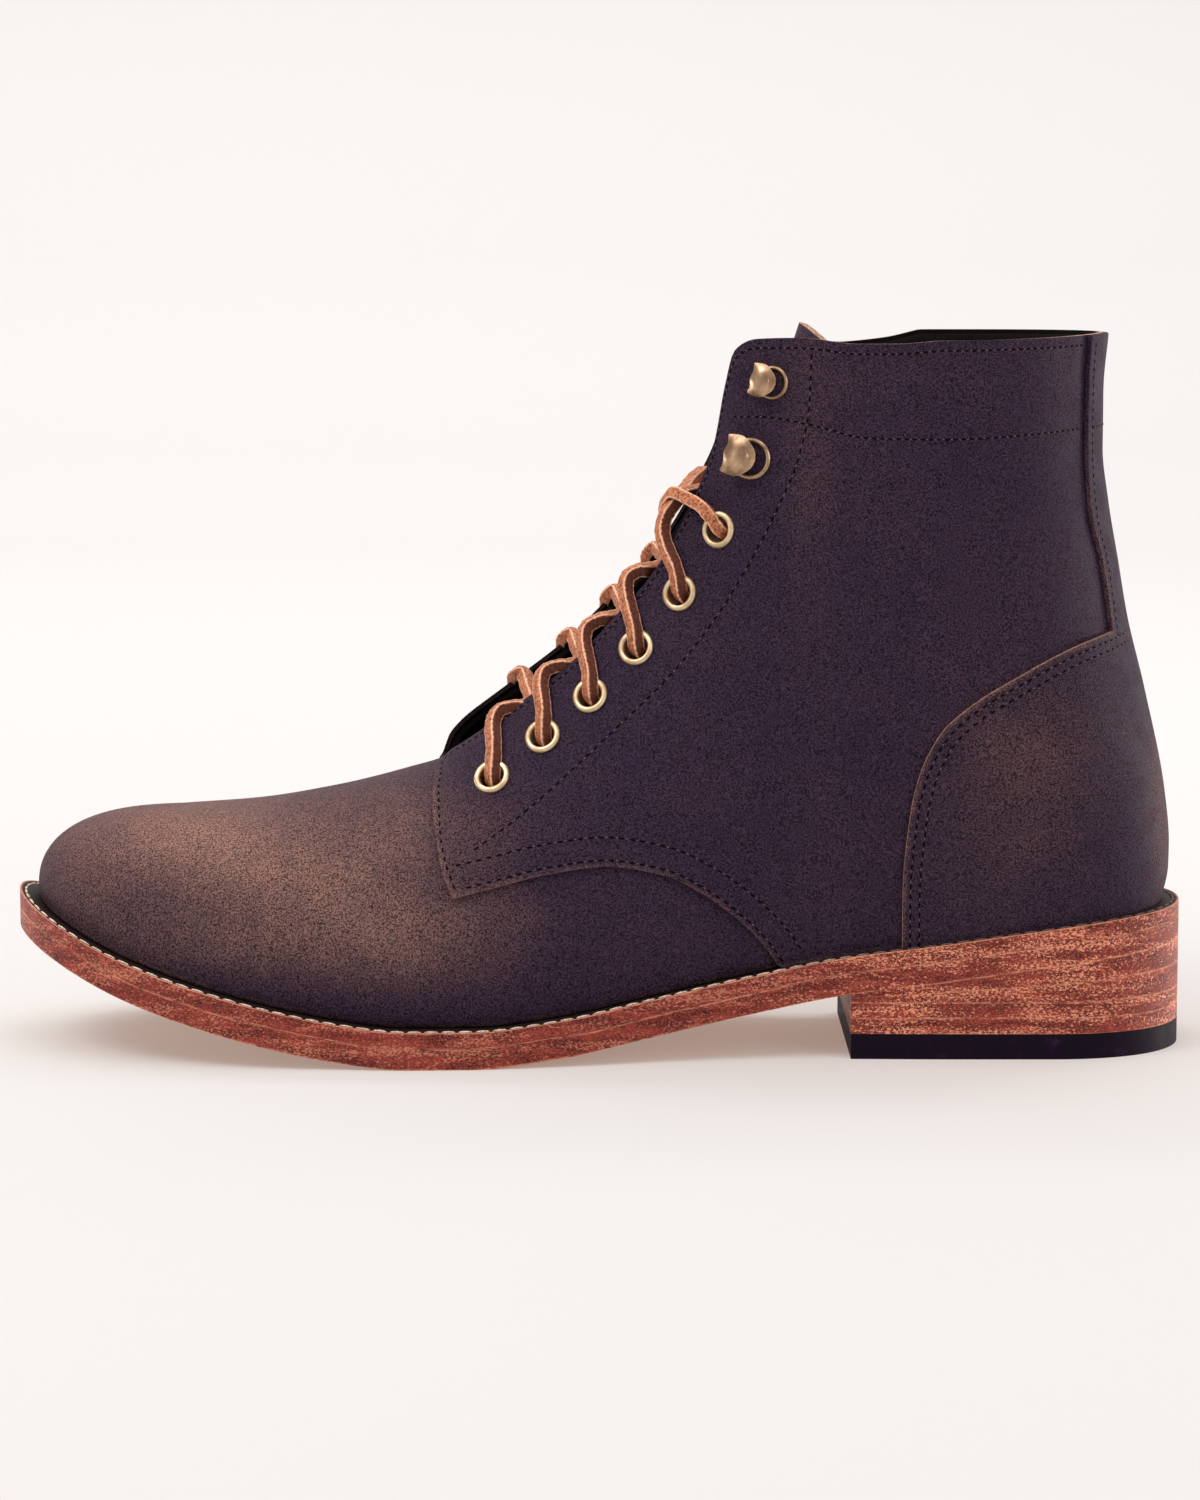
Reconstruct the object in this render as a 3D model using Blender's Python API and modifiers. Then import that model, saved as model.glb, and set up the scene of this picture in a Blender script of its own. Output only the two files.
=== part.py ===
"""Six-inch lace-up work boot for the left foot, built as an assembly of its maker's pieces.

The toe points to -X, the outer (lateral) side of the foot to -Y, and the sole stands on z = 0.
Every size and table here is in millimetres, and MM turns it into Blender's metres.
"""

from collections import namedtuple
from math import pi

import bmesh
import bpy
import numpy as np
from mathutils import Vector

MM = 0.001
LATERAL, MEDIAL = -1, 1
BOTH_SIDES = (LATERAL, MEDIAL)

# Driving sizes of the sole
TOE_TIP = -155.0
HEEL_BACK = 155.0
TOE_ROOT = -70.0        # the ball, where the toe's outline starts
HEEL_ROOT = 118.0       # where the round of the heel starts
TOE_SPAN = 110.0        # edge length given to the toe's outline, tip to root
HEEL_SPAN = 50.0        # edge length given to the heel's outline, root to back
TOE_SHAPE = 2.1         # powers of the two outlines, 2 being an ellipse
HEEL_SHAPE = 2.2
SHAFT_SHAPE = 1.85      # the shaft's back is narrower than the heel
HEEL_LINE = -1.85       # the heel's middle line, with the whole sole's width centred on y = 0
TOE_SWING = 5.0         # the toe's lean from that line towards the medial side
SWING_END = 10.0        # where that lean has run out
OUTSOLE_THICK = 5.2
WELT_THICK = 4.2
WELT_WIDTH = 15.0
JOIN = 0.3              # the gap left between pieces that rest on each other
HEEL_BREAST = 66.0
TOP_LIFT_THICK = 6.4
HEEL_LIFTS = 4
INSOLE_THICK = 3.0
INSOLE_CLEAR = 0.8

# Driving sizes of the upper
WALL = 2.0
QUARTER_STEP = 1.2      # how far the quarters stand above the vamp
QUARTER_SUNK = 0.7      # how far the quarter's solid reaches into the vamp's wall
OVERLAY_THICK = 1.2
POLE_X = -112.0         # top of the toe box, where the toe's ribs meet
BACK_TOP = 187.2
BELLY_POWER = 0.7       # puts the swelling of a rib below its middle
EDGE_SHORT = 0.008      # share of a rib's height that the vamp layer stops short of the quarter's edge
NORMAL_U = 0.6          # steps along and up the skin that its normal is measured over
NORMAL_V = 0.01
WELD = 0.05             # points of a sheet that are closer than this are one point
SIDE_REACH = 90.0       # side-view cutters run this far to either side

# Edge distances along the foot: toe tip, throat and back of the heel
TIP_U = TOE_ROOT - TOE_SPAN
BACK_U = HEEL_ROOT + HEEL_SPAN
THROAT_U = -42.0
QUARTER_U = -52.0       # the quarter's sheet starts here, ahead of its front edge

# Half widths of the outsole either side of the heel's middle line
Width = namedtuple("Width", "x lateral medial")
WIDTHS = (
    Width(-70, 48.0, 52.5),
    Width(-52, 48.8, 52.5),
    Width(-35, 48.2, 50.5),
    Width(-12, 45.0, 45.0),
    Width(15, 39.3, 38.0),
    Width(40, 35.0, 33.0),
    Width(65, 33.4, 32.0),
    Width(92, 34.0, 33.5),
    Width(118, 34.0, 34.0),
)

# Height of the outsole's underside: toe spring, flat tread, arch and heel seat
Spring = namedtuple("Spring", "x z")
SPRINGS = (
    Spring(-155, 30.8),
    Spring(-144, 25.0),
    Spring(-125, 16.8),
    Spring(-103, 9.9),
    Spring(-83, 4.9),
    Spring(-66, 1.7),
    Spring(-50, 0.0),
    Spring(-32, 0.0),
    Spring(-10, 2.2),
    Spring(12, 6.5),
    Spring(40, 12.2),
    Spring(66, 17.2),
    Spring(90, 20.4),
    Spring(110, 23.3),
    Spring(135, 26.6),
    Spring(155, 28.4),
)

# Welt showing outside the upper, by distance along the foot's edge
Ledge = namedtuple("Ledge", "u width")
LEDGES = (
    Ledge(TIP_U, 5.5),
    Ledge(-70, 6.5),
    Ledge(-20, 6.5),
    Ledge(30, 5.2),
    Ledge(80, 5.0),
    Ledge(118, 5.4),
    Ledge(BACK_U, 7.5),
)

# Ribs of the last: where each rib stands on the sole, where it ends, and how it bends
# gap is half the throat, rise and back move the medial edge up and back, n and m bend the rib,
# belly swells it, and open is 1 where the rib ends at a cut edge and 0 where it ends on the ridge
Rib = namedtuple("Rib", "foot top_x top_z gap rise back n m belly open")
RIBS = (
    Rib(-112, -112.0, 61.4, 0.0, 0.0, 0.0, 2.60, 2.60, 0.8, 0.0),
    Rib(-92, -92.0, 63.0, 0.0, 0.0, 0.0, 2.45, 2.40, 1.2, 0.0),
    Rib(-70, -69.0, 67.0, 0.0, 0.0, 0.0, 2.30, 2.15, 1.8, 0.0),
    Rib(-52, -50.0, 72.0, 0.0, 0.0, 0.0, 2.20, 2.00, 2.0, 0.0),
    Rib(-42, -41.0, 75.0, 0.0, 0.0, 0.0, 2.15, 1.90, 2.0, 0.2),
    Rib(-38, -38.5, 77.3, 6.0, 3.0, 0.0, 2.10, 1.70, 2.0, 0.4),
    Rib(-31, -33.0, 81.5, 9.5, 4.0, 0.0, 2.10, 1.50, 2.0, 0.7),
    Rib(-19, -21.0, 90.5, 11.0, 4.0, 0.0, 2.00, 1.30, 2.0, 1.0),
    Rib(-5, -7.0, 101.7, 11.5, 4.0, 0.0, 2.00, 1.20, 2.0, 1.0),
    Rib(9, 5.0, 114.7, 12.0, 3.0, 0.0, 2.00, 1.15, 2.2, 1.0),
    Rib(22, 15.5, 127.3, 13.0, 2.0, 0.4, 2.00, 1.10, 2.5, 1.0),
    Rib(33, 26.0, 147.0, 14.5, 1.0, 1.2, 2.00, 1.10, 3.0, 1.0),
    Rib(42, 31.2, 161.5, 16.5, 0.0, 2.0, 2.00, 1.10, 3.2, 1.0),
    Rib(49, 34.0, 176.5, 19.0, -1.2, 2.2, 2.00, 1.05, 3.4, 1.0),
    Rib(54, 36.2, 184.3, 21.0, -2.2, 2.2, 1.90, 1.05, 3.5, 1.0),
    Rib(60, 41.5, 187.0, 23.5, -2.2, 1.8, 1.80, 1.00, 3.6, 1.0),
    Rib(68, 52.0, 187.4, 27.5, -2.0, 1.0, 1.60, 1.00, 3.8, 1.0),
    Rib(80, 66.0, 186.0, 31.5, -1.2, 0.4, 1.40, 1.00, 4.0, 1.0),
    Rib(98, 77.0, 186.2, 33.8, 0.0, 0.0, 1.30, 1.00, 4.0, 1.0),
    Rib(118, 87.0, 187.6, 34.5, 1.6, 0.0, 1.30, 1.00, 4.0, 1.0),
)

# Back curve of the last, from the sole to the collar, by share of the height
Back = namedtuple("Back", "h x")
BACKS = (
    Back(0.00, 147.5),
    Back(0.06, 149.4),
    Back(0.10, 149.5),
    Back(0.19, 148.2),
    Back(0.37, 142.5),
    Back(0.50, 137.6),
    Back(0.60, 134.9),
    Back(0.70, 132.2),
    Back(0.80, 130.4),
    Back(0.90, 130.4),
    Back(1.00, 131.6),
)

# Outlines of the quarter, counter and backstay as seen from the side
Mark = namedtuple("Mark", "x z")
QUARTER_FRONT = (
    Mark(-40.0, 80.0),
    Mark(-43.0, 72.0),
    Mark(-43.2, 65.0),
    Mark(-41.5, 54.0),
    Mark(-37.8, 43.0),
)
QUARTER_SEAM = (
    Mark(-37.8, 43.0),
    Mark(-26.0, 46.0),
    Mark(-12.5, 49.2),
    Mark(2.0, 51.0),
    Mark(16.5, 48.7),
    Mark(26.5, 44.0),
    Mark(36.5, 36.6),
    Mark(43.0, 30.0),
    Mark(47.0, 20.0),
)
COUNTER_EDGE = (
    Mark(79.3, 20.0),
    Mark(79.2, 44.0),
    Mark(80.8, 64.0),
    Mark(83.0, 74.5),
    Mark(88.5, 86.0),
    Mark(103.5, 98.0),
    Mark(122.0, 107.5),
    Mark(146.0, 113.5),
)
BACKSTAY_EDGE = (
    Mark(126.0, 195.0),
    Mark(125.3, 178.0),
    Mark(125.1, 160.0),
    Mark(126.2, 142.0),
    Mark(129.6, 128.0),
    Mark(133.6, 111.1),
)
BACKSTAY_FOOT = Mark(146.0, 114.2)

# Row of fastenings up the facing, as seen from the side
EYELET_MARKS = (
    Mark(-27.4, 72.4),
    Mark(-14.1, 82.9),
    Mark(-1.6, 93.6),
    Mark(10.3, 106.2),
    Mark(21.8, 120.6),
    Mark(32.0, 137.4),
)
HOOK_MARKS = (
    Mark(40.5, 156.0),
    Mark(46.0, 175.0),
)
EYELET_RADIUS = 4.7
EYELET_BORE = 3.05
EYELET_BARREL = 3.5
EYELET_CLEAR = 0.8      # under the flange, over the facing's curve
EYELET_RIM = 1.1        # heights of the flange's rim, crown and bore edge
EYELET_CROWN = 1.5
EYELET_LIP = 1.3
EYELET_ROUND = 0.7      # the crown stands this far outside the bore
EYELET_STEPS = 9
EYELET_HOLE_DEPTH = 14.0
HOOK_BASE = 5.2
HOOK_BASE_TOP = 4.8
HOOK_BASE_THICK = 1.0
HOOK_NECK = 2.2
HOOK_NECK_FOOT = 0.4
HOOK_NECK_SHARE = 0.35  # share of the dome's lean that the neck takes
HOOK_RISE = 3.6
HOOK_REACH = 2.4        # the dome leans this far from its base towards the throat
HOOK_FORWARD = (-1.0, 0.0, 0.25)
HOOK_DOME = 4.9
HOOK_DOME_CUT = 0.7     # the sphere is cut this far above its middle
HOOK_DOME_FLAT = 0.55   # and flattened by this factor
HOOK_DOME_HEIGHT = 2.5

# Tongue: middle line seen from the side, half width and how fast its sides fall away
Tongue = namedtuple("Tongue", "x z half fall")
TONGUE = (
    Tongue(-47.0, 69.4, 10.0, 0.030),
    Tongue(-30.2, 77.3, 15.0, 0.033),
    Tongue(-3.8, 97.6, 19.0, 0.035),
    Tongue(8.9, 110.4, 20.0, 0.036),
    Tongue(21.3, 122.9, 21.0, 0.036),
    Tongue(33.8, 143.4, 22.0, 0.036),
    Tongue(41.5, 158.6, 23.0, 0.034),
    Tongue(47.5, 174.0, 24.0, 0.030),
    Tongue(53.0, 189.4, 24.0, 0.026),
)
TONGUE_THICK = 2.4

# Lace: square rawhide, half width, and how far each strand runs on and under the facings
LACE_HALF = 1.5
LACE_CLEAR = 0.75
LACE_ON_FACING = 5.6
LACE_UNDER_FACING = 4.0

# Way of a strand: share of the run between two eyelets, and share of its length on that facing
Pass = namedtuple("Pass", "share fall")
OVER_NEAR = (Pass(0.05, 1.0), Pass(0.14, 0.6), Pass(0.24, 0.2), Pass(0.32, 0.0))
UNDER_FAR = (Pass(0.72, 0.0), Pass(0.80, 0.5), Pass(0.88, 1.0))

BOOT = bpy.data.collections.new("lace_up_boot")
CUTTERS = bpy.data.collections.new("cutters")


def clear_scene():
    for item in list(bpy.data.objects):
        bpy.data.objects.remove(item, do_unlink=True)
    for group in (BOOT, CUTTERS):
        bpy.context.scene.collection.children.link(group)


def finish(name, colour, roughness, metallic=0.0):
    """A plain material with the piece's colour."""
    material = bpy.data.materials.new(name)
    material.use_nodes = True
    shader = material.node_tree.nodes["Principled BSDF"]
    shader.inputs["Base Color"].default_value = (*colour, 1.0)
    shader.inputs["Roughness"].default_value = roughness
    shader.inputs["Metallic"].default_value = metallic
    return material


def column(table, name):
    return [getattr(row, name) for row in table]


def ease(knots, values, at):
    """Smooth curve through a table's rows, with no overshoot between them."""
    knots = np.asarray(knots, float)
    values = np.asarray(values, float)
    step = np.diff(knots)
    slope = np.diff(values) / step
    product = slope[:-1] * slope[1:]
    total = np.where(product > 0, slope[:-1] + slope[1:], 1.0)
    tangent = np.concatenate(([slope[0]], np.where(product > 0, 2 * product / total, 0.0), [slope[-1]]))
    i = np.clip(np.searchsorted(knots, at) - 1, 0, len(step) - 1)
    t = np.clip((at - knots[i]) / step[i], 0.0, 1.0)
    rise = values[i] + t * t * (3 - 2 * t) * (values[i + 1] - values[i])
    lean = t * (1 - t) * step[i] * ((1 - t) * tangent[i] - t * tangent[i + 1])
    return rise + lean


def from_table(table, key, value, at):
    return ease(column(table, key), column(table, value), at)


def middle(x):
    """The shoe's middle line, which leans to the medial side at the toe."""
    t = np.clip((SWING_END - x) / (SWING_END - TOE_ROOT), 0.0, 1.0)
    return HEEL_LINE + TOE_SWING * t * t * (3 - 2 * t)


def sole_bottom(x):
    return from_table(SPRINGS, "x", "z", x)


def outsole_top(x):
    return sole_bottom(x) + OUTSOLE_THICK


def welt_bottom(x):
    return outsole_top(x) + JOIN


def welt_top(x):
    return welt_bottom(x) + WELT_THICK


def heel_turn(u, shape):
    """Sine and cosine of the way round the heel, bent by the outline's power."""
    angle = np.clip((u - HEEL_ROOT) / HEEL_SPAN, 0.0, 1.0) * pi / 2
    return np.sin(angle) ** (2 / shape), np.cos(angle).clip(0.0) ** (2 / shape)


def outline(u, side, inset=0.0):
    """Plan of the sole's edge at a distance along the foot, moved in by inset."""
    root = np.clip(u, TOE_ROOT, HEEL_ROOT)
    lateral = from_table(WIDTHS, "x", "lateral", root)
    medial = from_table(WIDTHS, "x", "medial", root)
    half = np.where(side < 0, lateral, medial)
    centre = middle(root)
    reach = half - side * (centre - HEEL_LINE) - inset
    angle = np.clip((TOE_ROOT - u) / TOE_SPAN, 0.0, 1.0) * pi / 2
    toe_sine = np.sin(angle) ** (2 / TOE_SHAPE)
    toe_cosine = np.cos(angle).clip(0.0) ** (2 / TOE_SHAPE)
    heel_sine, heel_cosine = heel_turn(u, HEEL_SHAPE)
    x = root - (TOE_ROOT - TOE_TIP - inset) * toe_sine + (HEEL_BACK - HEEL_ROOT - inset) * heel_sine
    return x, centre + side * reach * toe_cosine * heel_cosine


def ledge(u):
    return from_table(LEDGES, "u", "width", u)


def last(u, v, side):
    """Point on the last's surface: u runs along the foot's edge, v from the sole to the top line."""
    u, v, side = np.broadcast_arrays(np.asarray(u, float), np.asarray(v, float), np.asarray(side, float))
    foot_x, foot_y = outline(u, side, ledge(u))
    at = np.clip(foot_x, POLE_X, HEEL_ROOT)
    rib = Rib(*(from_table(RIBS, "foot", name, at) for name in Rib._fields))
    h = v * rib.open + np.sin(v * pi / 2) * (1 - rib.open)
    fall = np.clip(1 - h ** rib.n, 0.0, 1.0) ** (1 / rib.m)
    swell = rib.belly * np.sin(pi * h ** BELLY_POWER)
    heel_sine, heel_cosine = heel_turn(u, HEEL_SHAPE + (SHAFT_SHAPE - HEEL_SHAPE) * np.minimum(2 * h, 1.0))
    centre = middle(at)
    root_y = outline(np.clip(u, TOE_ROOT, HEEL_ROOT), side, ledge(u))[1]
    flat = np.where(u > HEEL_ROOT, np.abs(root_y - centre), np.abs(foot_y - centre))
    half = rib.gap + (flat - rib.gap) * fall
    # Toe ribs run in to the pole, vamp and shaft ribs lean to their top, heel ribs turn about a leaning axis
    reach = np.hypot(foot_x - at, foot_y - centre)
    share = fall + swell / np.maximum(reach, 1.0)
    axis = at + (rib.top_x + np.where(side > 0, rib.back, 0.0) - at) * h
    back = from_table(BACKS, "h", "x", h)
    x = np.where(foot_x < POLE_X, at + (foot_x - at) * share, axis + (back - axis) * heel_sine)
    y_toe = centre + (foot_y - centre) * share
    y = np.where(foot_x < POLE_X, y_toe, centre + side * (half + swell) * heel_cosine)
    low = welt_top(foot_x) + JOIN
    high = rib.top_z + np.where(side > 0, rib.rise, 0.0)
    high = high + (BACK_TOP - high) * heel_sine ** 2
    return np.stack((x, y, low + (high - low) * h), axis=-1)


def skin(u, v, side, lift=0.0):
    """The last's surface, moved out by lift along its own normal."""
    u, v, side = np.broadcast_arrays(np.asarray(u, float), np.asarray(v, float), np.asarray(side, float))
    here = last(u, v, side)
    if np.all(lift == 0.0):
        return here
    return here + lift * skin_normal(u, v, side)


def skin_normal(u, v, side):
    along = last(u + NORMAL_U, v, side) - last(u - NORMAL_U, v, side)
    up = last(u, np.minimum(v + NORMAL_V, 1.0), side) - last(u, np.maximum(v - NORMAL_V, 0.0), side)
    normal = np.cross(along, up) * -np.asarray(side)[..., None]
    return normal / np.linalg.norm(normal, axis=-1, keepdims=True)


def locate(mark, side):
    """Edge distance and height share of the skin seen at a side-view mark."""
    place = np.array([mark.x + 4.0, 0.8])
    reach = np.array([0.05, 0.0005])
    for _ in range(40):
        here = last(*place, side)[[0, 2]]
        miss = np.array(mark) - here
        slopes = [(last(*(place + step), side)[[0, 2]] - here) for step in np.diag(reach)]
        move = np.linalg.solve(np.array(slopes).T, miss) * reach
        place = place + np.clip(move, (-6.0, -0.08), (6.0, 0.08))
        place = np.clip(place, (TIP_U, 0.02), (BACK_U, 0.995))
    return place


def put(bm, name, material, collection=None):
    """Make an object from a bmesh held in millimetres."""
    bmesh.ops.scale(bm, vec=(MM, MM, MM), verts=bm.verts)
    mesh = bpy.data.meshes.new(name)
    bm.to_mesh(mesh)
    bm.free()
    mesh.shade_smooth()
    mesh.set_sharp_from_angle(angle=pi / 5)
    item = bpy.data.objects.new(name, mesh)
    (collection or BOOT).objects.link(item)
    if material:
        mesh.materials.append(material)
    return item


def warped_grid(bm, columns, rows, place):
    """Add a grid and put each of its points where place(column values, row values) says."""
    grid = bmesh.ops.create_grid(bm, x_segments=len(columns) - 1, y_segments=len(rows) - 1, size=1.0)
    flat = np.array([vert.co[:2] for vert in grid["verts"]])
    a = np.interp(flat[:, 0], np.linspace(-1, 1, len(columns)), columns)
    b = np.interp(flat[:, 1], np.linspace(-1, 1, len(rows)), rows)
    for vert, point in zip(grid["verts"], place(a, b)):
        vert.co = point
    return grid["verts"]


def faces_of(verts):
    return list({face for vert in verts for face in vert.link_faces})


def skin_mesh(u_values, v_values, lift=0.0, trim=0.0):
    """Both sides of a stretch of the skin as one open sheet, facing out and cut short behind the throat."""
    bm = bmesh.new()
    for side in BOTH_SIDES:
        verts = warped_grid(
            bm, u_values, v_values,
            lambda u, v: skin(u, v * np.where(u > THROAT_U, 1 - trim, 1.0), side, lift),
        )
        if side == MEDIAL:
            bmesh.ops.reverse_faces(bm, faces=faces_of(verts))
    bmesh.ops.remove_doubles(bm, verts=bm.verts, dist=WELD)
    return bm


def thicken(item, thickness, offset):
    solid = item.modifiers.new("wall", "SOLIDIFY")
    solid.thickness = thickness * MM
    solid.offset = offset
    solid.use_even_offset = True


def cut(item, cutter, operation):
    step = item.modifiers.new(operation.lower(), "BOOLEAN")
    step.operation = operation
    step.solver = "EXACT"
    step.object = cutter


def hide(item):
    item.hide_render = True
    item.display_type = "WIRE"
    return item


def side_prism(name, marks):
    """A cutter right through the boot with an outline drawn on its side."""
    bm = bmesh.new()
    ring = [bm.verts.new((x, -SIDE_REACH, z)) for x, z in marks]
    face = bm.faces.new(ring)
    sweep = bmesh.ops.extrude_face_region(bm, geom=[face])
    moved = [part for part in sweep["geom"] if isinstance(part, bmesh.types.BMVert)]
    bmesh.ops.translate(bm, vec=(0.0, 2 * SIDE_REACH, 0.0), verts=moved)
    bmesh.ops.recalc_face_normals(bm, faces=bm.faces)
    return hide(put(bm, name, None, CUTTERS))


def smooth_marks(marks, steps=3):
    """The marks of an edge with eased points between them."""
    rows = np.array(marks, float)
    knots = np.concatenate(([0.0], np.cumsum(np.hypot(*np.diff(rows, axis=0).T))))
    at = np.interp(np.linspace(0, len(rows) - 1, steps * (len(rows) - 1) + 1), range(len(rows)), knots)
    return [(float(x), float(z)) for x, z in zip(ease(knots, rows[:, 0], at), ease(knots, rows[:, 1], at))]


def spread(*stops):
    """Values between named stops: each stop is a value and the number of steps up to the next."""
    values = [np.linspace(a, b, count, endpoint=False) for (a, count), (b, _) in zip(stops, stops[1:])]
    return np.concatenate(values + [[stops[-1][0]]])


def extrude_up(bm, height):
    """Close a flat sheet into a slab whose top follows height(x)."""
    sweep = bmesh.ops.extrude_face_region(bm, geom=bm.faces[:])
    for part in sweep["geom"]:
        if isinstance(part, bmesh.types.BMVert):
            part.co.z = float(height(part.co.x))
    bmesh.ops.recalc_face_normals(bm, faces=bm.faces)


def slab(name, u_values, inset, low, high, material):
    """A piece of the bottom stock with the sole's outline, between two height lines."""
    def place(u, side):
        x, lateral = outline(u, LATERAL, inset(u))
        medial = outline(u, MEDIAL, inset(u))[1]
        y = np.where(side < 0, lateral, medial)
        return np.stack((x, y, low(x)), axis=-1)

    bm = bmesh.new()
    warped_grid(bm, u_values, BOTH_SIDES, place)
    bmesh.ops.remove_doubles(bm, verts=bm.verts, dist=WELD)
    extrude_up(bm, high)
    return put(bm, name, material)


# Lattices of the sole's edge, of the shaft and of the height of vamp and quarters
EDGE_U = spread((TIP_U, 12), (TOE_ROOT, 18), (HEEL_ROOT, 10), (BACK_U, 0))
SHAFT_U = spread((60.0, 6), (HEEL_ROOT, 8), (BACK_U, 0))
VAMP_V = np.linspace(0.0, 1.0, 10)
QUARTER_V = np.linspace(0.005, 1.0, 11)


def build_sole(leather, rubber, board):
    slab("outsole", EDGE_U, lambda u: 0.0 * u, sole_bottom, outsole_top, leather)
    slab(
        "insole", EDGE_U, lambda u: ledge(u) + WALL + INSOLE_CLEAR,
        lambda x: welt_top(x) + JOIN, lambda x: welt_top(x) + JOIN + INSOLE_THICK, board,
    )

    def welt_place(share, width):
        u = np.interp(share, np.arange(2 * len(EDGE_U) - 1), np.concatenate((EDGE_U, EDGE_U[-2::-1])))
        side = np.where(share > len(EDGE_U) - 1, MEDIAL, LATERAL)
        x, y = outline(u, side, width)
        return np.stack((x, y, welt_bottom(x)), axis=-1)

    bm = bmesh.new()
    warped_grid(bm, np.arange(2 * len(EDGE_U) - 1), (0.0, WELT_WIDTH), welt_place)
    bmesh.ops.remove_doubles(bm, verts=bm.verts, dist=WELD)
    extrude_up(bm, welt_top)
    put(bm, "welt", leather)

    heel_u = spread((HEEL_BREAST, 6), (HEEL_ROOT, 10), (BACK_U, 0))

    def lift_line(share, shift):
        low = TOP_LIFT_THICK + JOIN
        return lambda x: low + (sole_bottom(x) - low) * share + shift

    for i in range(HEEL_LIFTS):
        slab(
            f"heel_lift_{i + 1}", heel_u, lambda u: 0.0 * u,
            lift_line(i / HEEL_LIFTS, 0.0), lift_line((i + 1) / HEEL_LIFTS, -JOIN), leather,
        )
    slab(
        "top_lift", heel_u, lambda u: 0.0 * u,
        lambda x: 0.0 * x, lambda x: 0.0 * x + TOP_LIFT_THICK, rubber,
    )


def build_upper(leather):
    """The vamp's wall all round, with the quarters as a step on it, and holes for the eyelets."""
    front_u = spread((TIP_U, 11), (TOE_ROOT, 3), (THROAT_U, 14), (SHAFT_U[0], 0))
    base_u = np.concatenate((front_u[:-1], SHAFT_U))
    upper = put(skin_mesh(base_u, VAMP_V, trim=EDGE_SHORT), "upper", leather)
    thicken(upper, WALL, -1.0)

    front_u = spread((QUARTER_U, 3), (THROAT_U + 0.5, 14), (SHAFT_U[0], 0))
    quarter_u = np.concatenate((front_u[:-1], SHAFT_U))
    quarter = put(skin_mesh(quarter_u, QUARTER_V), "quarter_step", None, CUTTERS)
    thick = QUARTER_STEP + QUARTER_SUNK
    thicken(quarter, thick, 2 * QUARTER_STEP / thick - 1)
    outline_marks = smooth_marks(QUARTER_FRONT) + smooth_marks(QUARTER_SEAM)[1:]
    outline_marks += [(170.0, 20.0), (170.0, 200.0), (-20.0, 200.0)]
    cut(quarter, side_prism("quarter_outline", outline_marks), "INTERSECT")
    cut(upper, hide(quarter), "UNION")
    return upper


def build_overlays(leather):
    """Counter and backstay, each cut from a sheet that follows the quarters' outer face."""
    lift = QUARTER_STEP + JOIN
    counter = put(skin_mesh(SHAFT_U[1:], QUARTER_V[:7], lift), "counter", leather)
    thicken(counter, OVERLAY_THICK, 1.0)
    marks = smooth_marks(COUNTER_EDGE) + [(175.0, 114.0), (175.0, 20.0)]
    cut(counter, side_prism("counter_outline", marks), "INTERSECT")

    backstay = put(skin_mesh(SHAFT_U[SHAFT_U >= HEEL_ROOT], QUARTER_V[3:], lift), "backstay", leather)
    thicken(backstay, OVERLAY_THICK, 1.0)
    marks = smooth_marks(BACKSTAY_EDGE) + [BACKSTAY_FOOT, (175.0, 115.0), (175.0, 195.0)]
    cut(backstay, side_prism("backstay_outline", marks), "INTERSECT")


def tongue_place(a, b):
    """Tongue surface: a runs across it from edge to edge, b from the throat to the tip."""
    rows = np.array(TONGUE, float)
    knots = np.concatenate(([0.0], np.cumsum(np.hypot(*np.diff(rows[:, :2], axis=0).T))))
    at = b * knots[-1]
    x, z, half, fall = (ease(knots, rows[:, i], at) for i in range(4))
    ahead = np.minimum(at + 1.0, knots[-1])
    behind = ahead - 2.0
    run = [ease(knots, rows[:, i], ahead) - ease(knots, rows[:, i], behind) for i in (0, 1)]
    length = np.hypot(*run)
    drop = fall * (a * half) ** 2
    return np.stack((x + drop * run[1] / length, middle(x) + a * half, z - drop * run[0] / length), axis=-1)


def build_tongue(leather):
    bm = bmesh.new()
    verts = warped_grid(bm, np.linspace(-1, 1, 9), np.linspace(0, 1, 15), tongue_place)
    bmesh.ops.reverse_faces(bm, faces=faces_of(verts))
    tongue = put(bm, "tongue", leather)
    thicken(tongue, TONGUE_THICK, -1.0)


def seat(mark, side, lift):
    """Place and outward direction on the quarter's face at a side-view mark."""
    u, v = locate(mark, side)
    point = skin(u, v, side, lift)
    return Vector(point * MM), Vector(skin_normal(np.array(u), np.array(v), np.array(side, float)))


def set_on(item, point, normal):
    item.location = point
    item.rotation_euler = normal.to_track_quat("Z", "Y").to_euler()


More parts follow.
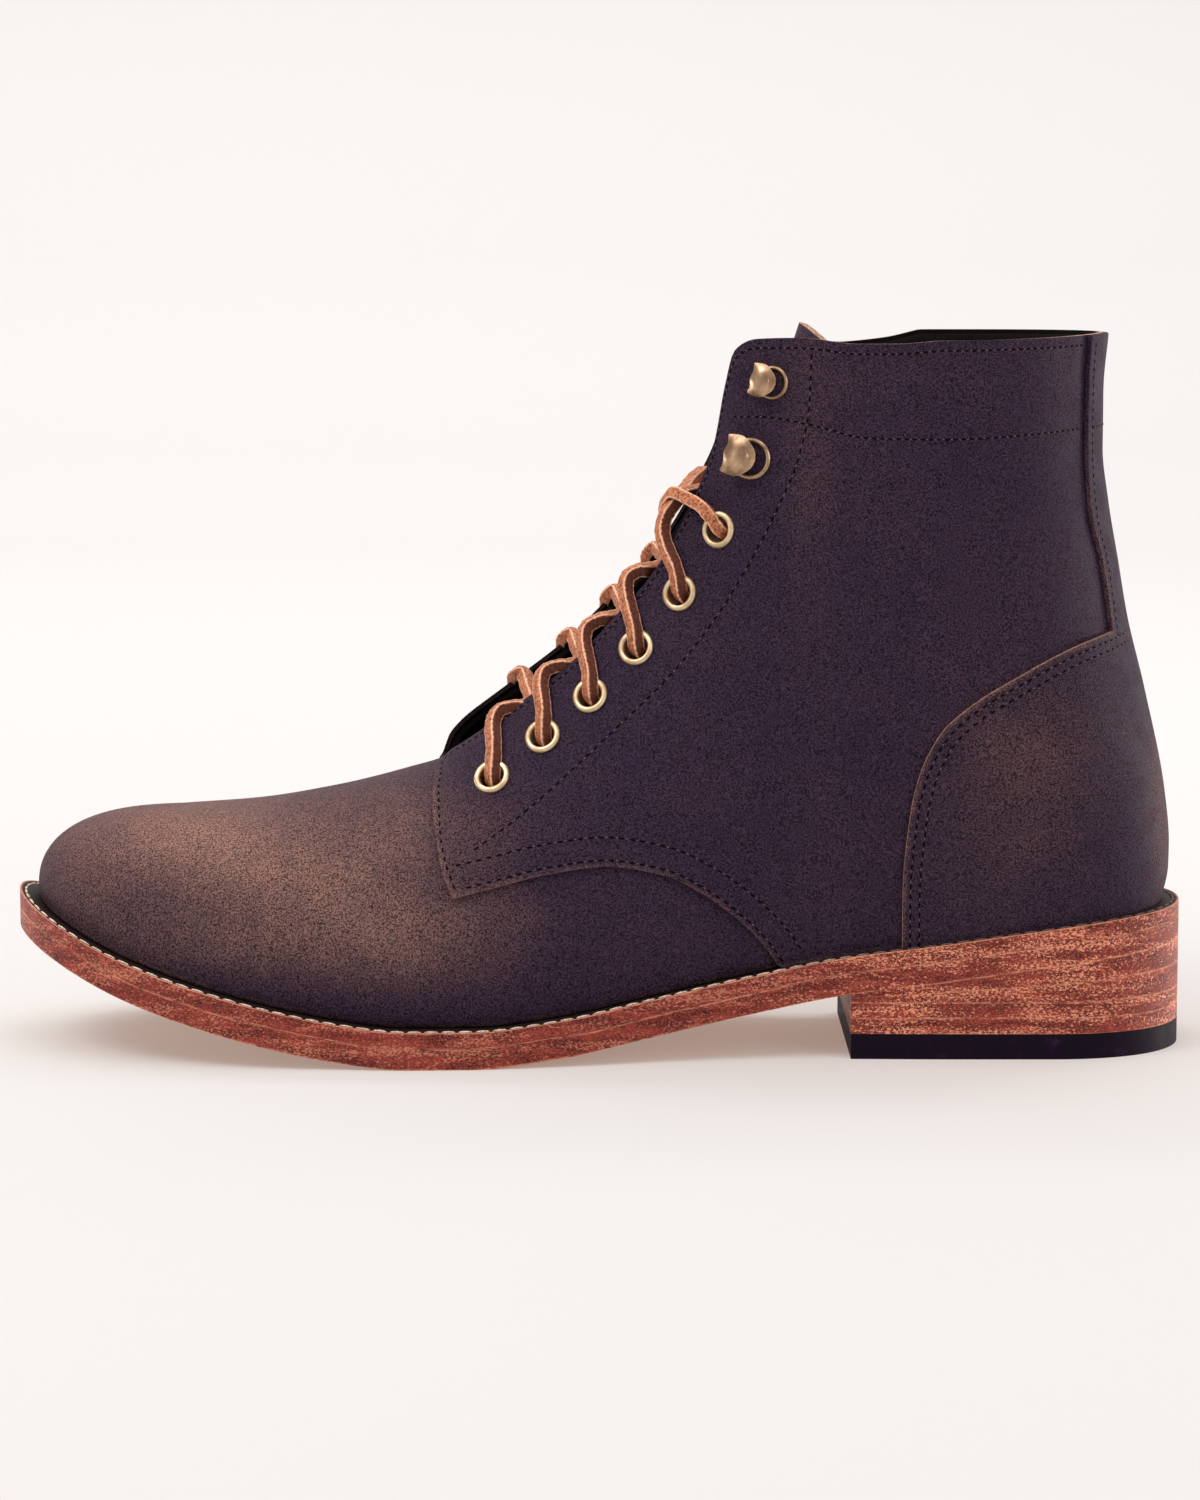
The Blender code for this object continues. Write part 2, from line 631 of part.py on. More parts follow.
def build_eyelets(upper, brass):
    """Turned rings, their barrels through the facing, and the holes for them."""
    depth = WALL + QUARTER_STEP
    profile = (
        (EYELET_BORE, EYELET_LIP), (EYELET_BORE + EYELET_ROUND, EYELET_CROWN),
        (EYELET_RADIUS, EYELET_RIM), (EYELET_RADIUS, EYELET_CLEAR),
        (EYELET_BARREL, EYELET_CLEAR), (EYELET_BARREL, -depth), (EYELET_BORE, -depth),
    )
    holes = bmesh.new()
    for side, word in zip(BOTH_SIDES, ("lateral", "medial")):
        for i, mark in enumerate(EYELET_MARKS):
            point, normal = seat(mark, side, QUARTER_STEP)
            bm = bmesh.new()
            verts = [bm.verts.new((r, 0.0, z)) for r, z in profile]
            edges = [bm.edges.new(pair) for pair in zip(verts, verts[1:] + verts[:1])]
            bmesh.ops.spin(
                bm, geom=verts + edges, axis=(0, 0, 1), cent=(0, 0, 0), angle=2 * pi,
                steps=EYELET_STEPS, use_merge=True,
            )
            bmesh.ops.remove_doubles(bm, verts=bm.verts, dist=WELD)
            bmesh.ops.recalc_face_normals(bm, faces=bm.faces)
            eyelet = put(bm, f"eyelet_{word}_{i + 1}", brass)
            set_on(eyelet, point, normal)
            wide = EYELET_BARREL + 2 * JOIN
            hole = bmesh.ops.create_cone(
                holes, cap_ends=True, segments=EYELET_STEPS, radius1=wide, radius2=wide,
                depth=EYELET_HOLE_DEPTH,
            )
            turn = normal.to_track_quat("Z", "Y").to_matrix().to_4x4()
            turn.translation = point / MM
            bmesh.ops.transform(holes, matrix=turn, verts=hole["verts"])
    cut(upper, hide(put(holes, "eyelet_holes", None, CUTTERS)), "DIFFERENCE")


def stud(segments, low_radius, high_radius, foot, height):
    """A short round stud standing on z = foot."""
    bm = bmesh.new()
    bmesh.ops.create_cone(
        bm, cap_ends=True, segments=segments, radius1=low_radius, radius2=high_radius, depth=height,
    )
    bmesh.ops.translate(bm, vec=(0, 0, foot + height / 2), verts=bm.verts)
    return bm


def hook_dome():
    """A flattened dome with a flat underside."""
    bm = bmesh.new()
    bmesh.ops.create_uvsphere(bm, u_segments=14, v_segments=8, radius=HOOK_DOME)
    bmesh.ops.bisect_plane(
        bm, geom=bm.verts[:] + bm.edges[:] + bm.faces[:],
        plane_co=(0, 0, HOOK_DOME_CUT), plane_no=(0, 0, 1), clear_inner=True,
    )
    bmesh.ops.holes_fill(bm, edges=bm.edges, sides=0)
    bmesh.ops.scale(bm, vec=(1.0, 1.0, HOOK_DOME_FLAT), verts=bm.verts)
    bmesh.ops.recalc_face_normals(bm, faces=bm.faces)
    return bm


def build_hooks(brass):
    """Speed hooks: a riveted base, a neck and a dome that leans towards the throat."""
    forward = Vector(HOOK_FORWARD)
    for side, word in zip(BOTH_SIDES, ("lateral", "medial")):
        for i, mark in enumerate(HOOK_MARKS):
            name = f"hook_{word}_{i + 1}"
            point, normal = seat(mark, side, QUARTER_STEP + JOIN)
            lean = (forward - forward.project(normal)).normalized() * HOOK_REACH * MM
            base = put(stud(16, HOOK_BASE, HOOK_BASE_TOP, 0.0, HOOK_BASE_THICK), name, brass)
            neck = stud(10, HOOK_NECK, HOOK_NECK, HOOK_NECK_FOOT, HOOK_RISE)
            neck = put(neck, f"{name}_neck", None, CUTTERS)
            dome = put(hook_dome(), f"{name}_dome", None, CUTTERS)
            set_on(base, point, normal)
            set_on(neck, point + lean * HOOK_NECK_SHARE, normal)
            set_on(dome, point + lean + normal * HOOK_DOME_HEIGHT * MM, normal)
            cut(base, hide(neck), "UNION")
            cut(base, hide(dome), "UNION")


def strand(name, start, end, from_side, bridge_rise):
    """One square strand: off the facing beside an eyelet, over the throat, under the far facing."""
    over = QUARTER_STEP + LACE_CLEAR + LACE_HALF
    under = -(WALL + LACE_CLEAR + LACE_HALF)
    u0, v0 = locate(start, from_side)
    u1, v1 = locate(end, -from_side)
    rib0 = np.linalg.norm(skin(u0, 1.0, from_side) - skin(u0, v0, from_side)) / (1 - v0)
    rib1 = np.linalg.norm(skin(u1, 1.0, -from_side) - skin(u1, v1, -from_side)) / (1 - v1)
    near = [
        skin(u0 + (u1 - u0) * share, 1 - LACE_ON_FACING * fall / rib0, from_side, over)
        for share, fall in OVER_NEAR
    ]
    far = [
        skin(u0 + (u1 - u0) * share, 1 - LACE_UNDER_FACING * fall / rib1, -from_side, under)
        for share, fall in UNDER_FAR
    ]
    near[-1] = near[-1] - np.array([0.0, from_side * LACE_HALF, 0.0])
    far[0] = far[0] + np.array([0.0, from_side * LACE_HALF, 0.0])
    bridge = (near[-1] + far[0]) / 2 + np.array([0.0, 0.0, bridge_rise])
    path = near + [bridge] + far
    curve = bpy.data.curves.new(name, "CURVE")
    curve.dimensions = "3D"
    curve.bevel_depth = LACE_HALF * MM
    curve.bevel_resolution = 0
    curve.use_fill_caps = True
    spline = curve.splines.new("POLY")
    spline.points.add(len(path) - 1)
    for point, place in zip(spline.points, path):
        point.co = (*(place * MM), 1.0)
    item = bpy.data.objects.new(name, curve)
    BOOT.objects.link(item)
    bpy.context.view_layer.update()
    graph = bpy.context.evaluated_depsgraph_get()
    mesh = bpy.data.meshes.new_from_object(item.evaluated_get(graph))
    bpy.data.objects.remove(item, do_unlink=True)
    bm = bmesh.new()
    bm.from_mesh(mesh)
    bpy.data.meshes.remove(mesh)
    bmesh.ops.remove_doubles(bm, verts=bm.verts, dist=1e-6)
    bmesh.ops.recalc_face_normals(bm, faces=bm.faces)
    bmesh.ops.scale(bm, vec=(1 / MM, 1 / MM, 1 / MM), verts=bm.verts)
    return bm


def build_lace(rawhide):
    """Five crossings, each of two strands joined where they meet."""
    for i, (low, high) in enumerate(zip(EYELET_MARKS, EYELET_MARKS[1:])):
        crossing = put(strand("strand", low, high, LATERAL, 0.0), f"lace_crossing_{i + 1}", rawhide)
        other = put(strand("strand", low, high, MEDIAL, LACE_HALF), f"lace_strand_{i + 1}", None, CUTTERS)
        cut(crossing, hide(other), "UNION")


def main():
    clear_scene()
    brown = finish("brown_leather", (0.055, 0.034, 0.026), 0.6)
    edge = finish("sole_leather", (0.30, 0.085, 0.035), 0.45)
    board = finish("insole_leather", (0.32, 0.20, 0.12), 0.7)
    rubber = finish("black_rubber", (0.012, 0.010, 0.012), 0.65)
    brass = finish("antique_brass", (0.50, 0.37, 0.19), 0.35, 1.0)
    rawhide = finish("rawhide", (0.42, 0.13, 0.05), 0.5)
    build_sole(edge, rubber, board)
    upper = build_upper(brown)
    build_overlays(brown)
    build_tongue(brown)
    build_eyelets(upper, brass)
    build_hooks(brass)
    build_lace(rawhide)


main()
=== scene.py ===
"""Dresses a left lace-up boot: nubuck panels, raw edges, stitches, rawhide lace, brass and the waxed sole.

Sizes in the tables are millimetres in the boot's own frame: the toe points to -X, the outer (lateral) side
of the foot to -Y, and the sole stands on z = 0. A place on the upper is given by u, the distance along the
foot's edge, and v, the share of the way from the sole to the top line.
"""

from collections import namedtuple
from math import pi, radians

import bmesh
import bpy
import numpy as np
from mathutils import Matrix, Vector, kdtree


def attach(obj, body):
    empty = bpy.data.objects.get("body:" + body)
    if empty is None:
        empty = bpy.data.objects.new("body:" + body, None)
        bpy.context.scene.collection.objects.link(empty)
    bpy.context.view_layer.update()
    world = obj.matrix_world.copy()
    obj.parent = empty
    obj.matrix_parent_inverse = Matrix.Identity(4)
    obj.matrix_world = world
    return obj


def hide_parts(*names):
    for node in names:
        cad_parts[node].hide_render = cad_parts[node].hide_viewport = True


bl_info = {
    "name": "Lace-up Boot Dresser",
    "version": (1, 0, 0),
    "blender": (4, 5, 0),
    "location": "3D View > Sidebar > Boot",
    "description": "Adds the leather, stitches, lace, brass and sole finish of a lace-up boot to its solids",
    "category": "Object",
}

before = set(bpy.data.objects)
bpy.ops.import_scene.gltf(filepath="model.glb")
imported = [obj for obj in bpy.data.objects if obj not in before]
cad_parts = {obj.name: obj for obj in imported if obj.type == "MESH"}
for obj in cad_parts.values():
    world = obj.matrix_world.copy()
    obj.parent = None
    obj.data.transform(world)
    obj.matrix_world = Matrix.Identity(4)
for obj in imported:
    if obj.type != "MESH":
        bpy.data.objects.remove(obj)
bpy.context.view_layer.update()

MM = 0.001
LATERAL, MEDIAL = -1, 1
SIDE_NAMES = {LATERAL: "lateral", MEDIAL: "medial"}
BOTH_SIDES = tuple(SIDE_NAMES)
BODY = "root"

# Sizes of the sole and the last, as the solids have them
TOE_TIP = -155.0
HEEL_BACK = 155.0
TOE_ROOT = -70.0
HEEL_ROOT = 118.0
TOE_SPAN = 110.0
HEEL_SPAN = 50.0
TOE_SHAPE = 2.1
HEEL_SHAPE = 2.2
SHAFT_SHAPE = 1.95
HEEL_LINE = -1.85
TOE_SWING = 5.0
SWING_END = 10.0
OUTSOLE_THICK = 5.2
WELT_THICK = 4.2
WELT_WIDTH = 15.0
JOIN = 0.3
HEEL_BREAST = 66.0
TOP_LIFT_THICK = 6.4
HEEL_LIFTS = 4
WALL = 2.0
QUARTER_STEP = 1.2
OVERLAY_OUT = 2.7
POLE_X = -112.0
BACK_TOP = 188.2
BELLY_POWER = 0.7
EDGE_SHORT = 0.008
FACING_TRIM = 1.3    # how far the near facing is cut below the last's top line
TRIM_FADE = (40.0, 56.0)
NORMAL_U = 0.6    # steps to either side when the skin's direction is found
NORMAL_V = 0.01
NO_LENGTH = 1e-9
WELD = 0.02    # points of two halves that are closer than this become one
TOUCH = 0.001
TIP_U = TOE_ROOT - TOE_SPAN
BACK_U = HEEL_ROOT + HEEL_SPAN
THROAT_U = -42.0

# Half widths of the outsole either side of the heel's middle line
Width = namedtuple("Width", "x lateral medial")
WIDTHS = (
    Width(-70, 48.0, 52.5),
    Width(-52, 48.8, 52.5),
    Width(-35, 48.2, 50.5),
    Width(-12, 45.0, 45.0),
    Width(15, 39.3, 38.0),
    Width(40, 35.0, 33.0),
    Width(65, 33.4, 32.0),
    Width(92, 34.0, 33.5),
    Width(118, 34.0, 34.0),
)

# Height of the outsole's underside: toe spring, flat tread, arch and heel seat
Spring = namedtuple("Spring", "x z")
SPRINGS = (
    Spring(-155, 30.8),
    Spring(-144, 25.0),
    Spring(-125, 16.8),
    Spring(-103, 9.9),
    Spring(-83, 4.9),
    Spring(-66, 1.7),
    Spring(-50, 0.0),
    Spring(-32, 0.0),
    Spring(-10, 2.2),
    Spring(12, 6.5),
    Spring(40, 12.2),
    Spring(66, 17.2),
    Spring(90, 20.4),
    Spring(110, 23.3),
    Spring(135, 26.6),
    Spring(155, 28.4),
)

# Welt showing outside the upper, by distance along the foot's edge
Ledge = namedtuple("Ledge", "u width")
LEDGES = (
    Ledge(TIP_U, 5.5),
    Ledge(-70, 6.5),
    Ledge(-20, 6.5),
    Ledge(30, 5.2),
    Ledge(80, 5.0),
    Ledge(118, 5.4),
    Ledge(BACK_U, 7.5),
)

# Ribs of the last: where each stands on the sole, where it ends, how the medial edge differs, how it bends
Rib = namedtuple("Rib", "foot top_x top_z gap rise back n m belly open")
RIBS = (
    Rib(-112, -112.0, 61.4, 0.0, 0.0, 0.0, 2.60, 2.60, 0.8, 0.0),
    Rib(-92, -92.0, 63.0, 0.0, 0.0, 0.0, 2.45, 2.40, 1.2, 0.0),
    Rib(-70, -69.0, 67.0, 0.0, 0.0, 0.0, 2.30, 2.15, 1.8, 0.0),
    Rib(-52, -50.0, 72.0, 0.0, 0.0, 0.0, 2.20, 2.00, 2.0, 0.0),
    Rib(-42, -41.0, 75.0, 0.0, 0.0, 0.0, 2.15, 1.90, 2.0, 0.2),
    Rib(-38, -38.5, 77.3, 6.0, 3.0, 0.0, 2.10, 1.70, 2.0, 0.4),
    Rib(-31, -33.0, 81.5, 9.5, 4.0, 0.0, 2.10, 1.50, 2.0, 0.7),
    Rib(-19, -21.0, 90.5, 11.0, 4.0, 0.0, 2.00, 1.30, 2.0, 1.0),
    Rib(-5, -7.0, 101.7, 11.5, 4.0, 0.0, 2.00, 1.20, 2.0, 1.0),
    Rib(9, 5.0, 114.7, 12.0, 3.0, 0.0, 2.00, 1.15, 2.2, 1.0),
    Rib(22, 15.5, 127.3, 13.0, 2.0, 0.4, 2.00, 1.10, 2.5, 1.0),
    Rib(33, 26.0, 147.0, 14.5, 1.0, 1.2, 2.00, 1.10, 3.0, 1.0),
    Rib(42, 31.2, 161.5, 16.5, 0.0, 2.0, 2.00, 1.10, 3.2, 1.0),
    Rib(49, 34.0, 176.5, 19.0, -1.2, 2.2, 2.00, 1.05, 3.4, 1.0),
    Rib(54, 36.2, 184.3, 21.0, -2.2, 2.2, 1.90, 1.05, 3.5, 1.0),
    Rib(60, 41.5, 187.0, 23.5, -2.2, 1.8, 1.80, 1.00, 3.6, 1.0),
    Rib(68, 52.0, 187.4, 27.5, -2.0, 1.0, 1.60, 1.00, 3.8, 1.0),
    Rib(80, 66.0, 186.0, 31.5, -1.5, 0.4, 1.40, 1.00, 4.0, 1.0),
    Rib(98, 77.0, 186.1, 33.8, -0.6, 0.0, 1.30, 1.00, 4.0, 1.0),
    Rib(118, 87.0, 186.9, 34.5, 0.8, 0.0, 1.30, 1.00, 4.0, 1.0),
)

# Back curve of the last, from the sole to the collar, by share of the height
Back = namedtuple("Back", "h x")
BACKS = (
    Back(0.00, 147.5),
    Back(0.06, 149.4),
    Back(0.10, 149.5),
    Back(0.19, 148.2),
    Back(0.37, 142.5),
    Back(0.50, 137.6),
    Back(0.60, 134.9),
    Back(0.70, 132.2),
    Back(0.80, 130.4),
    Back(0.90, 130.4),
    Back(1.00, 131.6),
)

# Edges of the panels as seen from the side, each running away from the quarter's lower front corner
Mark = namedtuple("Mark", "x z")
QUARTER_FRONT = (
    Mark(-37.8, 43.0),
    Mark(-39.9, 48.5),
    Mark(-41.6, 54.5),
    Mark(-43.0, 63.5),
    Mark(-43.2, 68.5),
    Mark(-42.5, 72.3),
)
QUARTER_SEAM = (
    Mark(-37.8, 43.0),
    Mark(-26.0, 46.0),
    Mark(-12.5, 49.2),
    Mark(2.0, 51.0),
    Mark(16.5, 48.7),
    Mark(26.5, 44.0),
    Mark(36.5, 36.6),
    Mark(43.0, 30.0),
    Mark(47.0, 24.2),
)
COUNTER_EDGE = (
    Mark(79.3, 29.0),
    Mark(79.2, 44.0),
    Mark(80.8, 64.0),
    Mark(83.0, 74.5),
    Mark(88.5, 86.0),
    Mark(95.0, 92.3),
    Mark(103.5, 98.0),
    Mark(122.0, 107.5),
    Mark(138.5, 112.0),
)
COUNTER_BEND = Mark(88.5, 86.0)
BACKSTAY_EDGE = (
    Mark(132.6, 108.0),
    Mark(129.6, 128.0),
    Mark(126.2, 142.0),
    Mark(125.1, 160.0),
    Mark(125.3, 178.0),
    Mark(125.9, 186.5),
)
FACING_STITCH = (
    Mark(-32.5, 54.5),
    Mark(-19.8, 63.6),
    Mark(-7.3, 74.4),
    Mark(6.7, 87.5),
    Mark(20.8, 101.5),
    Mark(34.8, 120.8),
    Mark(44.8, 139.9),
    Mark(51.7, 155.9),
    Mark(54.6, 169.8),
    Mark(55.2, 184.0),
)
BAND_STITCH = (
    Mark(35.5, 166.8),
    Mark(42.8, 167.0),
    Mark(54.1, 165.3),
    Mark(70.3, 161.9),
    Mark(90.0, 161.7),
    Mark(107.7, 162.5),
    Mark(124.0, 163.6),
)

# Row of fastenings up the facing, as seen from the side
EYELET_MARKS = (
    Mark(-27.4, 72.4),
    Mark(-14.1, 82.9),
    Mark(-1.6, 93.6),
    Mark(10.3, 106.2),
    Mark(21.8, 120.6),
    Mark(32.0, 137.4),
)
HOOK_MARKS = (
    Mark(40.5, 156.0),
    Mark(46.0, 175.6),
)

# Tongue: middle line seen from the side, half width and how fast its sides fall away
Tongue = namedtuple("Tongue", "x z half fall")
TONGUE = (
    Tongue(-47.0, 69.4, 10.0, 0.030),
    Tongue(-30.2, 77.3, 15.0, 0.033),
    Tongue(-3.8, 97.6, 19.0, 0.035),
    Tongue(8.9, 110.4, 20.0, 0.036),
    Tongue(21.3, 122.9, 21.0, 0.036),
    Tongue(33.8, 143.4, 22.0, 0.036),
    Tongue(41.5, 158.6, 23.0, 0.034),
    Tongue(47.5, 174.0, 24.0, 0.030),
    Tongue(53.0, 190.8, 24.0, 0.026),
)
TONGUE_THICK = 2.4
TONGUE_ROUND = 0.045    # share of its length that the tongue's top corners are cut back

# Soft creases of the worn-in leather, each a trough between two side-view points
Crease = namedtuple("Crease", "x0 z0 x1 z1 depth width")
CREASES = (
    Crease(52.0, 78.0, 76.0, 70.5, 0.35, 3.2),
    Crease(50.0, 86.0, 72.0, 78.5, 0.22, 3.0),
    Crease(56.0, 67.0, 74.0, 62.5, 0.20, 2.8),
    Crease(-72.0, 40.0, -58.0, 62.0, 0.25, 5.0),
    Crease(-60.0, 34.0, -47.0, 52.0, 0.20, 4.5),
)

# Lighter places in side view: where the oiled leather has been pulled, and painted highlight where the lamps
# fall on the toe top (partly), the lower vamp and the back edge
PaleSpot = namedtuple("PaleSpot", "x z wide high amount")
PULLS_AND_HIGHLIGHTS = (
    # Toe top: pulled leather, and partly a painted highlight of the lit toe
    PaleSpot(-106.0, 57.0, 38.0, 12.0, 0.46),
    PaleSpot(-78.0, 48.0, 24.0, 9.0, 0.26),
    PaleSpot(-52.0, 60.0, 17.0, 14.0, 0.19),
    # Lower vamp: painted highlight, standing in for the front light on it
    PaleSpot(-88.0, 34.0, 40.0, 10.0, 0.26),
    PaleSpot(-136.0, 44.0, 14.0, 12.0, 0.15),
    PaleSpot(-50.0, 34.0, 26.0, 12.0, 0.18),
    PaleSpot(-30.0, 40.0, 22.0, 5.0, 0.05),
    PaleSpot(-30.0, 56.0, 10.0, 12.0, 0.05),
    PaleSpot(54.0, 150.0, 6.0, 40.0, 0.05),
    PaleSpot(74.0, 178.0, 22.0, 8.0, 0.03),
    PaleSpot(112.0, 82.0, 20.0, 14.0, 0.11),
    PaleSpot(104.0, 54.0, 22.0, 22.0, 0.06),
    # Back edge of the counter: painted warm rim highlight
    PaleSpot(149.0, 62.0, 4.0, 26.0, 0.12),
)

# Bounds of the rubbed edges in side view
WORN_LOW = 74.0
WORN_BACK = 70.0
WORN_HIGH = 180.0
WORN_FADE = 128.0    # height from which the rubbing fades
FADE_RATE = 0.03
FAR_RIM = 6.0    # past this distance an edge's rubbing doesn't show


def length_property(name, description, default):
    return bpy.props.FloatProperty(name=name, description=description, default=default, unit="LENGTH")


def colour_property(name, description, default):
    return bpy.props.FloatVectorProperty(
        name=name, description=description, default=default, subtype="COLOR", size=3, min=0.0, max=1.0,
    )


class BootSizes(bpy.types.PropertyGroup):
    """Sizes of the sewn and fitted details"""

    stitch_pitch: length_property("Stitch pitch", "Length of one stitch on the seams", 0.0027)
    collar_pitch: length_property("Collar pitch", "Length of one stitch at the collar", 0.0021)
    stitch_width: length_property("Thread width", "Width of the panels' thread", 0.00062)
    welt_pitch: length_property("Welt pitch", "Length of one stitch on the welt", 0.0044)
    welt_thread: length_property("Welt thread", "Width of the welt's waxed thread", 0.00085)
    lace_width: length_property("Lace width", "Side of the square rawhide lace", 0.0034)
    edge_round: length_property("Edge rounding", "Rounding of the cut leather edges", 0.00036)
    sole_round: length_property("Sole rounding", "Rounding of the sole's waxed edges", 0.0002)


class BootColours(bpy.types.PropertyGroup):
    """Colours of the boot's materials"""

    # The dark colour's purple cast is the tint of the leather in shade, painted into its base colour
    leather_dark: colour_property("Leather, dark", "Oiled nubuck at rest", (0.0210, 0.0120, 0.0272))
    # The pulled colour is also the painted highlight colour of the lit toe top, lower vamp and back edge
    leather_light: colour_property("Leather, pulled", "Nubuck where rubbed or bent", (0.250, 0.132, 0.098))
    raw_edge: colour_property("Raw edge", "Cut edge of the panels", (0.270, 0.150, 0.110))
    facing_edge: colour_property("Facing edge", "Dyed edge of the facings", (0.016, 0.009, 0.011))
    collar_edge: colour_property("Collar edge", "Cut edge of the collar", (0.420, 0.250, 0.180))
    lining: colour_property("Lining", "Inside of the upper", (0.0070, 0.0050, 0.0055))
    sole_dark: colour_property("Sole, dark", "Dark mottling of the sole edge", (0.045, 0.0070, 0.0080))
    sole_light: colour_property("Sole, light", "Light mottling of the sole edge", (0.350, 0.058, 0.039))
    # The fleck colour is also the painted highlight along the welt's outer rim
    sole_fleck_and_glint: colour_property("Sole fleck", "Pale fibres of the sole edge", (0.780, 0.310, 0.190))
    # Colour of the welt's upward faces
    welt_top: colour_property("Welt top", "Dark dressing on top of the welt", (0.020, 0.008, 0.008))
    tread: colour_property("Tread", "Underside of the leather sole", (0.420, 0.230, 0.120))
    rubber: colour_property("Rubber", "Top lift of the heel", (0.0060, 0.0022, 0.0085))
    brass: colour_property("Brass", "Eyelets", (0.760, 0.610, 0.410))
    brass_aged: colour_property("Brass, aged", "Patina of the eyelets", (0.500, 0.350, 0.200))
    hook_metal: colour_property("Hooks", "Rubbed face of the hooks", (0.540, 0.360, 0.225))
    hook_aged: colour_property("Hooks, aged", "Patina of the hooks", (0.190, 0.110, 0.066))
    lace: colour_property("Lace", "Fuzzy sides of the rawhide lace", (0.560, 0.200, 0.096))
    # The grain side is darker than its own colour, as painted shade on that side of the lace
    lace_grain_and_shade: colour_property("Lace, grain", "Smooth grain side of the lace", (0.130, 0.037, 0.022))
    # The pale corners are painted highlights
    lace_corner_glint: colour_property("Lace edge", "Raw corners of the lace", (0.800, 0.430, 0.280))
    dark_thread: colour_property("Panel thread", "Thread of the panels", (0.0025, 0.0012, 0.0030))
    # Used for the pale crowns between the dark dashes, which are painted highlights on the thread, and for
    # the dirty welt thread at the heel
    worn_thread: colour_property("Worn thread", "Crowns of the panel thread", (0.130, 0.085, 0.076))
    welt_thread: colour_property("Welt thread", "Waxed thread of the welt", (0.720, 0.590, 0.490))
    insole: colour_property("Insole", "Leather board inside", (0.320, 0.200, 0.120))
    floor: colour_property("Floor", "Plain pale floor", (0.367, 0.414, 0.434))


class BootStage(bpy.types.PropertyGroup):
    """Camera"""

    camera_place: bpy.props.FloatVectorProperty(
        name="Camera place", description="Where the camera stands", default=(0.0005, -1.15185, 0.224),
        subtype="TRANSLATION", size=3,
    )
    camera_pitch: bpy.props.FloatProperty(
        name="Camera pitch", description="How far the camera looks down", default=radians(7.28),
        subtype="ANGLE",
    )
    camera_lens: bpy.props.FloatProperty(
        name="Camera lens", description="Focal length in millimetres", default=104.4,
        subtype="DISTANCE_CAMERA",
    )


def sizes():
    return bpy.context.scene.boot_sizes


def colours():
    return bpy.context.scene.boot_colours


def in_mm(length):
    return length / MM


# Shape of the last

def column(table, name):
    return [getattr(row, name) for row in table]


def ease(knots, values, at):
    """Smooth curve through a table's rows, with no overshoot between them."""
    knots = np.asarray(knots, float)
    values = np.asarray(values, float)
    step = np.diff(knots)
    slope = np.diff(values) / step
    product = slope[:-1] * slope[1:]
    total = np.where(product > 0, slope[:-1] + slope[1:], 1.0)
    tangent = np.concatenate(([slope[0]], np.where(product > 0, 2 * product / total, 0.0), [slope[-1]]))
    i = np.clip(np.searchsorted(knots, at) - 1, 0, len(step) - 1)
    t = np.clip((at - knots[i]) / step[i], 0.0, 1.0)
    rise = values[i] + t * t * (3 - 2 * t) * (values[i + 1] - values[i])
    lean = t * (1 - t) * step[i] * ((1 - t) * tangent[i] - t * tangent[i + 1])
    return rise + lean


def from_table(table, key, value, at):
    return ease(column(table, key), column(table, value), at)


def middle(x):
    """The shoe's middle line, which leans to the medial side at the toe."""
    t = np.clip((SWING_END - x) / (SWING_END - TOE_ROOT), 0.0, 1.0)
    return HEEL_LINE + TOE_SWING * t * t * (3 - 2 * t)


def sole_bottom(x):
    return from_table(SPRINGS, "x", "z", x)


def outsole_top(x):
    return sole_bottom(x) + OUTSOLE_THICK


def welt_bottom(x):
    return outsole_top(x) + JOIN


def welt_top(x):
    return welt_bottom(x) + WELT_THICK


def heel_turn(u, shape):
    """Sine and cosine of the way round the heel, bent by the outline's power."""
    angle = np.clip((u - HEEL_ROOT) / HEEL_SPAN, 0.0, 1.0) * pi / 2
    return np.sin(angle) ** (2 / shape), np.cos(angle).clip(0.0) ** (2 / shape)


def outline(u, side, inset=0.0):
    """Plan of the sole's edge at a distance along the foot, moved in by inset."""
    root = np.clip(u, TOE_ROOT, HEEL_ROOT)
    lateral = from_table(WIDTHS, "x", "lateral", root)
    medial = from_table(WIDTHS, "x", "medial", root)
    half = np.where(side < 0, lateral, medial)
    centre = middle(root)
    reach = half - side * (centre - HEEL_LINE) - inset
    angle = np.clip((TOE_ROOT - u) / TOE_SPAN, 0.0, 1.0) * pi / 2
    toe_sine = np.sin(angle) ** (2 / TOE_SHAPE)
    toe_cosine = np.cos(angle).clip(0.0) ** (2 / TOE_SHAPE)
    heel_sine, heel_cosine = heel_turn(u, HEEL_SHAPE)
    x = root - (TOE_ROOT - TOE_TIP - inset) * toe_sine + (HEEL_BACK - HEEL_ROOT - inset) * heel_sine
    return x, centre + side * reach * toe_cosine * heel_cosine


def ledge(u):
    return from_table(LEDGES, "u", "width", u)


